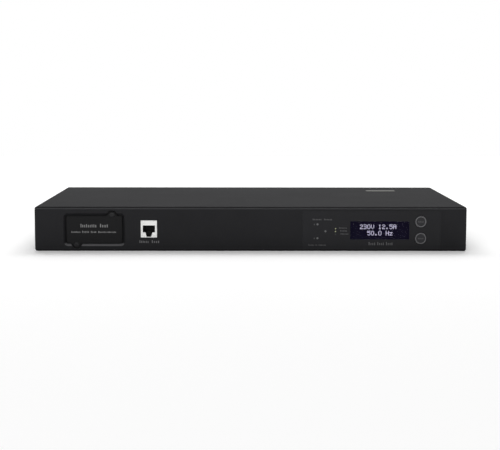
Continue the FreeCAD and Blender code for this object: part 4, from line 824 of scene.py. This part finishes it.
def copyTo(model, place, turnZ, turnOwn):
    only(model)
    bpy.ops.object.duplicate(linked=False)
    copy = bpy.context.object
    copy.matrix_world = (Matrix.Translation(place) @ Matrix.Rotation(math.radians(turnZ), 4, "Z")
                         @ Matrix.Rotation(math.radians(turnOwn), 4, "Y"))
    settle(copy)
    return copy


def setScrews(name, look, places):
    # places are (seat, turn about Z, turn of the cross)
    model = crossScrew(look)
    copies = [copyTo(model, place, turnZ, turnOwn) for place, turnZ, turnOwn in places]
    bpy.data.objects.remove(model)
    piece = joinAll(copies)
    only(piece)
    bpy.ops.object.shade_smooth_by_angle(angle=math.radians(screwDetail["smoothBelow"]))
    giveFinish(piece, finishOf[look["slot"]])
    hand(piece, name, "chassis")
    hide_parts(look["node"])


twelveSided = math.cos(math.pi / 12)  # the plain heads have twelve sides, so their box is this much narrower


def coverScrewPlaces(look):
    low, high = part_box(look["node"])
    inset = look["headRadius"] * mm * twelveSided
    seat = low[1] + look["headHigh"] * mm
    return ((Vector((high[0] - inset, seat, high[2] - inset)), 0, look["turns"][0]),
            (Vector((low[0] + inset, seat, low[2] + inset)), 0, look["turns"][1]))


def lidScrewPlaces(look):
    low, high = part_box(look["node"])
    inset = look["headRadius"] * mm * twelveSided
    z = (low[2] + high[2]) / 2
    places = []
    for x, side in ((high[0], 1), (low[0], -1)):
        for y, turnOwn in zip((low[1] + inset, high[1] - inset), look["turns"]):
            places.append((Vector((x - side * look["headHigh"] * mm, y, z)), 90 * side, turnOwn))
    return places


def earthScrewPlaces(look):
    place = middle(look["node"])
    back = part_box(look["node"])[1][1]
    return ((Vector((place.x, back - look["headHigh"] * mm, place.z)), 180, look["turns"][0]),)


for name, placesOf in (("cover_screws", coverScrewPlaces), ("lid_screws_cross", lidScrewPlaces),
                       ("earth_screw_cross", earthScrewPlaces)):
    setScrews(name, crossScrews[name], placesOf(crossScrews[name]))


# Toothed washer under the earth screw's head: every other point of its rim is drawn in
toothedWasher = {"outer": 4.8, "inner": 2.3, "thick": 0.8, "teeth": 24, "rimFrom": 4.0, "drawnIn": 0.93}


def earthWasher():
    place = middle("earth_screw")
    outer, thick = toothedWasher["outer"] * mm, toothedWasher["thick"] * mm
    points = 2 * toothedWasher["teeth"]
    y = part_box("earth_screw")[1][1] - crossScrews["earth_screw_cross"]["headHigh"] * mm - thick / 2
    bpy.ops.object.select_all(action="DESELECT")
    bpy.ops.mesh.primitive_cylinder_add(vertices=points, radius=outer, depth=thick,
                                        location=(place.x, y, place.z), rotation=upright)
    washer = bpy.context.object
    settle(washer)
    editFaces(washer, lambda at, facing: abs(facing.y) > square)
    bpy.ops.mesh.inset(thickness=outer - toothedWasher["inner"] * mm)
    bpy.ops.mesh.bridge_edge_loops()
    bpy.ops.mesh.select_all(action="DESELECT")
    mesh = bmesh.from_edit_mesh(washer.data)
    for vert in mesh.verts:
        away = vert.co - place
        turn = round(math.atan2(away.z, away.x) / math.tau * points - 0.5)
        if away.xz.length > toothedWasher["rimFrom"] * mm and turn % 2 == 0:
            vert.select_set(True)
    bmesh.update_edit_mesh(washer.data)
    bpy.ops.transform.resize(value=(toothedWasher["drawnIn"], 1, toothedWasher["drawnIn"]),
                             center_override=place)
    leaveEdit()
    giveFinish(washer, finishOf["bright_steel"])
    hand(washer, "earth_washer", "chassis")
    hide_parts("earth_screw")


earthWasher()
print("stage: screws")


# Painted shade in the modular jack: a black sheet lines the plug-shaped hollow and the narrower latch way
# under it
jackShadeLining = {
    "setBack": 0.55, "wall": 0.12,
    "plugWide": 12.1, "plugHigh": 6.9, "plugDeep": 14.3, "plugLift": 5.15,
    "latchWide": 7.0, "latchFootWide": 4.4, "latchDeep": 8.3, "latchLift": 0.65, "overlap": 1.0,
}


def shadeLiningBox(x, front, deep, wide, foot, top):
    bpy.ops.object.select_all(action="DESELECT")
    bpy.ops.mesh.primitive_cube_add(size=1, location=(x, front + deep / 2, (foot + top) / 2))
    box = bpy.context.object
    box.scale = (wide, deep, top - foot)
    settle(box)
    return box


def shadeJackHollow():
    size = {name: value * mm for name, value in jackShadeLining.items()}
    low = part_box("serial_jack")[0]
    x, front = middle("serial_jack").x, low[1] + size["setBack"]
    lift = low[2] + size["plugLift"]
    body = shadeLiningBox(x, front, size["plugDeep"], size["plugWide"], lift, lift + size["plugHigh"])
    latch = shadeLiningBox(x, front, size["latchDeep"], size["latchWide"], low[2] + size["latchLift"],
                      lift + size["overlap"])
    editFaces(latch, lambda at, facing: facing.z < -square)
    bpy.ops.transform.resize(value=(size["latchFootWide"] / size["latchWide"], 1, 1))
    leaveEdit()
    useModifier(body, "BOOLEAN", {"object": latch, "operation": "UNION", "solver": "EXACT"})
    bpy.data.objects.remove(latch)
    editFaces(body, lambda at, facing: facing.y < -square and at.y < front + hair)
    bpy.ops.mesh.delete(type="FACE")
    leaveEdit()
    useModifier(body, "SOLIDIFY", {"thickness": size["wall"], "offset": -1})
    # the black finish is painted shade: the hollow is dark only because light doesn't reach into it
    giveFinish(body, finishOf["black_mould"])
    hand(body, "jack_painted_shade", "chassis")


shadeJackHollow()
print("stage: jack lining")


# Spring contacts of the outlets: a pair of brass leaves in each slot, pinched near the mouth, then flared.
# Spread and shift are the slots' places round an outlet's middle, leaf is (wide, deep, thick).
springs = {
    "small_outlet_": {"count": 8, "spread": 7.0, "shift": 2.0, "leaf": (3.9, 9.0, 0.35), "turn": 0},
    "large_outlet_": {"count": 2, "spread": 6.5, "shift": 4.0, "leaf": (7.6, 9.0, 0.4), "turn": 90},
}
springBend = {"setBack": 3.2, "apart": 0.95, "pinch": 0.45, "flareLong": 1.1, "flareOut": 0.5}


def springLeaf(look):
    wide, deep, thick = (v * mm for v in look["leaf"])
    bpy.ops.object.select_all(action="DESELECT")
    bpy.ops.mesh.primitive_cube_add(size=1, location=(0, -deep / 2, springBend["apart"] * mm - thick / 2))
    leaf = bpy.context.object
    leaf.scale = (wide, deep, thick)
    settle(leaf)
    editFaces(leaf, lambda at, facing: facing.y > square)
    bpy.ops.transform.translate(value=(0, 0, -springBend["pinch"] * mm))
    flare = (0, springBend["flareLong"] * mm, springBend["flareOut"] * mm)
    bpy.ops.mesh.extrude_region_move(TRANSFORM_OT_translate={"value": flare})
    leaveEdit()
    return leaf


def outletSprings(name, look):
    leaf = springLeaf(look)
    spread, shift = look["spread"] * mm, look["shift"] * mm
    copies = []
    for number in range(look["count"]):
        nodeName = name + str(number + 1)
        place = middle(nodeName)
        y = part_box(nodeName)[1][1] - springBend["setBack"] * mm
        for dx, dz in ((-shift, spread), (-shift, -spread), (shift, 0)):
            for flip in (0, 180):
                at = Vector((place.x + dx, y, place.z + dz))
                copies.append(copyTo(leaf, at, 0, flip + look["turn"]))
    bpy.data.objects.remove(leaf)
    piece = joinAll(copies)
    giveFinish(piece, extraOf["springBrass"])
    hand(piece, name + "springs", "chassis")


for name, look in springs.items():
    outletSprings(name, look)
print("stage: outlet springs")


# Floor, room and lamps, in metres and watts
studio = {
    "floorSize": 3.0, "floorBelow": 0.0002, "floorPaint": "#f8f8f8", "floorGlow": 0.1, "skyLight": 0.28,
    "lamps": {
        "softboxBehind": {"place": (0.0, 2.0, 1.9), "aim": (0, 0, 0.02), "size": (2.4, 2.1), "watts": 72.0},
        "softboxAbove": {"place": (0.0, 1.2, 2.1), "aim": (0, 0, 0.02), "size": (2.7, 1.5), "watts": 36.0},
        "softboxFront": {"place": (-0.3, -2.4, 0.45), "aim": (0, 0, 0.02), "size": (2.0, 0.8),
                         "watts": 19.0},
    },
}
white = (1, 1, 1, 1)


def seenRay(tree):
    # 1 for a ray from the camera, off a gloss or through glass, so that these see the room white
    ray = addNode(tree, "ShaderNodeLightPath")
    glossyToo = addNode(tree, "ShaderNodeMath", {"operation": "MAXIMUM"},
                        input0=(ray, "Is Camera Ray"), input1=(ray, "Is Glossy Ray"))
    glassToo = addNode(tree, "ShaderNodeMath", {"operation": "MAXIMUM"},
                       input0=(glossyToo, "Value"), input1=(ray, "Is Transmission Ray"))
    return (glassToo, "Value")


def makeFloor():
    bpy.ops.object.select_all(action="DESELECT")
    bpy.ops.mesh.primitive_plane_add(size=studio["floorSize"], location=(0, 0, -studio["floorBelow"]))
    floor = bpy.context.object
    floor.name = "studio_floor"
    settle(floor)
    material = bpy.data.materials.new("whitePaintedBoard")
    material.use_nodes = True
    tree = material.node_tree
    tree.nodes.clear()
    paint = addNode(tree, "ShaderNodeBsdfDiffuse", {"Color": srgb(studio["floorPaint"]), "Roughness": 0.5})
    glow = addNode(tree, "ShaderNodeEmission", {"Color": white, "Strength": studio["floorGlow"]})
    both = addNode(tree, "ShaderNodeAddShader", input0=(paint, "BSDF"), input1=(glow, "Emission"))
    pick = addNode(tree, "ShaderNodeMixShader",
                   Fac=seenRay(tree), input1=(paint, "BSDF"), input2=(both, "Shader"))
    addNode(tree, "ShaderNodeOutputMaterial", Surface=(pick, "Shader"))
    floor.data.materials.append(material)


def makeSky():
    world = bpy.data.worlds.new("paleStudio")
    bpy.context.scene.world = world
    world.use_nodes = True
    tree = world.node_tree
    tree.nodes.clear()
    soft = addNode(tree, "ShaderNodeBackground", {"Color": white, "Strength": studio["skyLight"]})
    bright = addNode(tree, "ShaderNodeBackground", {"Color": white, "Strength": 1.0})
    pick = addNode(tree, "ShaderNodeMixShader",
                   Fac=seenRay(tree), input1=(soft, "Background"), input2=(bright, "Background"))
    addNode(tree, "ShaderNodeOutputWorld", Surface=(pick, "Shader"))


def makeLamp(name, look):
    lamp = bpy.data.lights.new(name, "AREA")
    lamp.shape = "RECTANGLE"
    lamp.size, lamp.size_y = look["size"]
    lamp.energy = look["watts"]
    holder = bpy.data.objects.new(name, lamp)
    bpy.context.collection.objects.link(holder)
    holder.visible_camera = False
    holder.location = look["place"]
    away = Vector(look["aim"]) - Vector(look["place"])
    holder.rotation_euler = away.to_track_quat("-Z", "Y").to_euler()


makeFloor()
makeSky()
for name, look in studio["lamps"].items():
    makeLamp(name, look)

# The camera, in millimetres and degrees
shot = {
    "place": (-10.0, -1361.6, 166.4), "pitch": 6.445, "yaw": -0.422, "roll": 0.083,
    "focal": 89.72, "sensor": 36.0, "farthest": 50000.0,
}


def makeCamera():
    camera = bpy.data.cameras.new("frontCamera")
    holder = bpy.data.objects.new("frontCamera", camera)
    bpy.context.collection.objects.link(holder)
    camera.sensor_width = shot["sensor"]
    camera.lens = shot["focal"]
    camera.clip_end = shot["farthest"] * mm
    turn = (Matrix.Rotation(math.radians(shot["yaw"]), 4, "Z")
            @ Matrix.Rotation(math.radians(90 - shot["pitch"]), 4, "X")
            @ Matrix.Rotation(math.radians(shot["roll"]), 4, "Z"))
    holder.matrix_world = Matrix.Translation(Vector(shot["place"]) * mm) @ turn
    bpy.context.scene.camera = holder


makeCamera()
bpy.context.scene.view_settings.view_transform = "Standard"
print("stage: floor, lamps and camera")
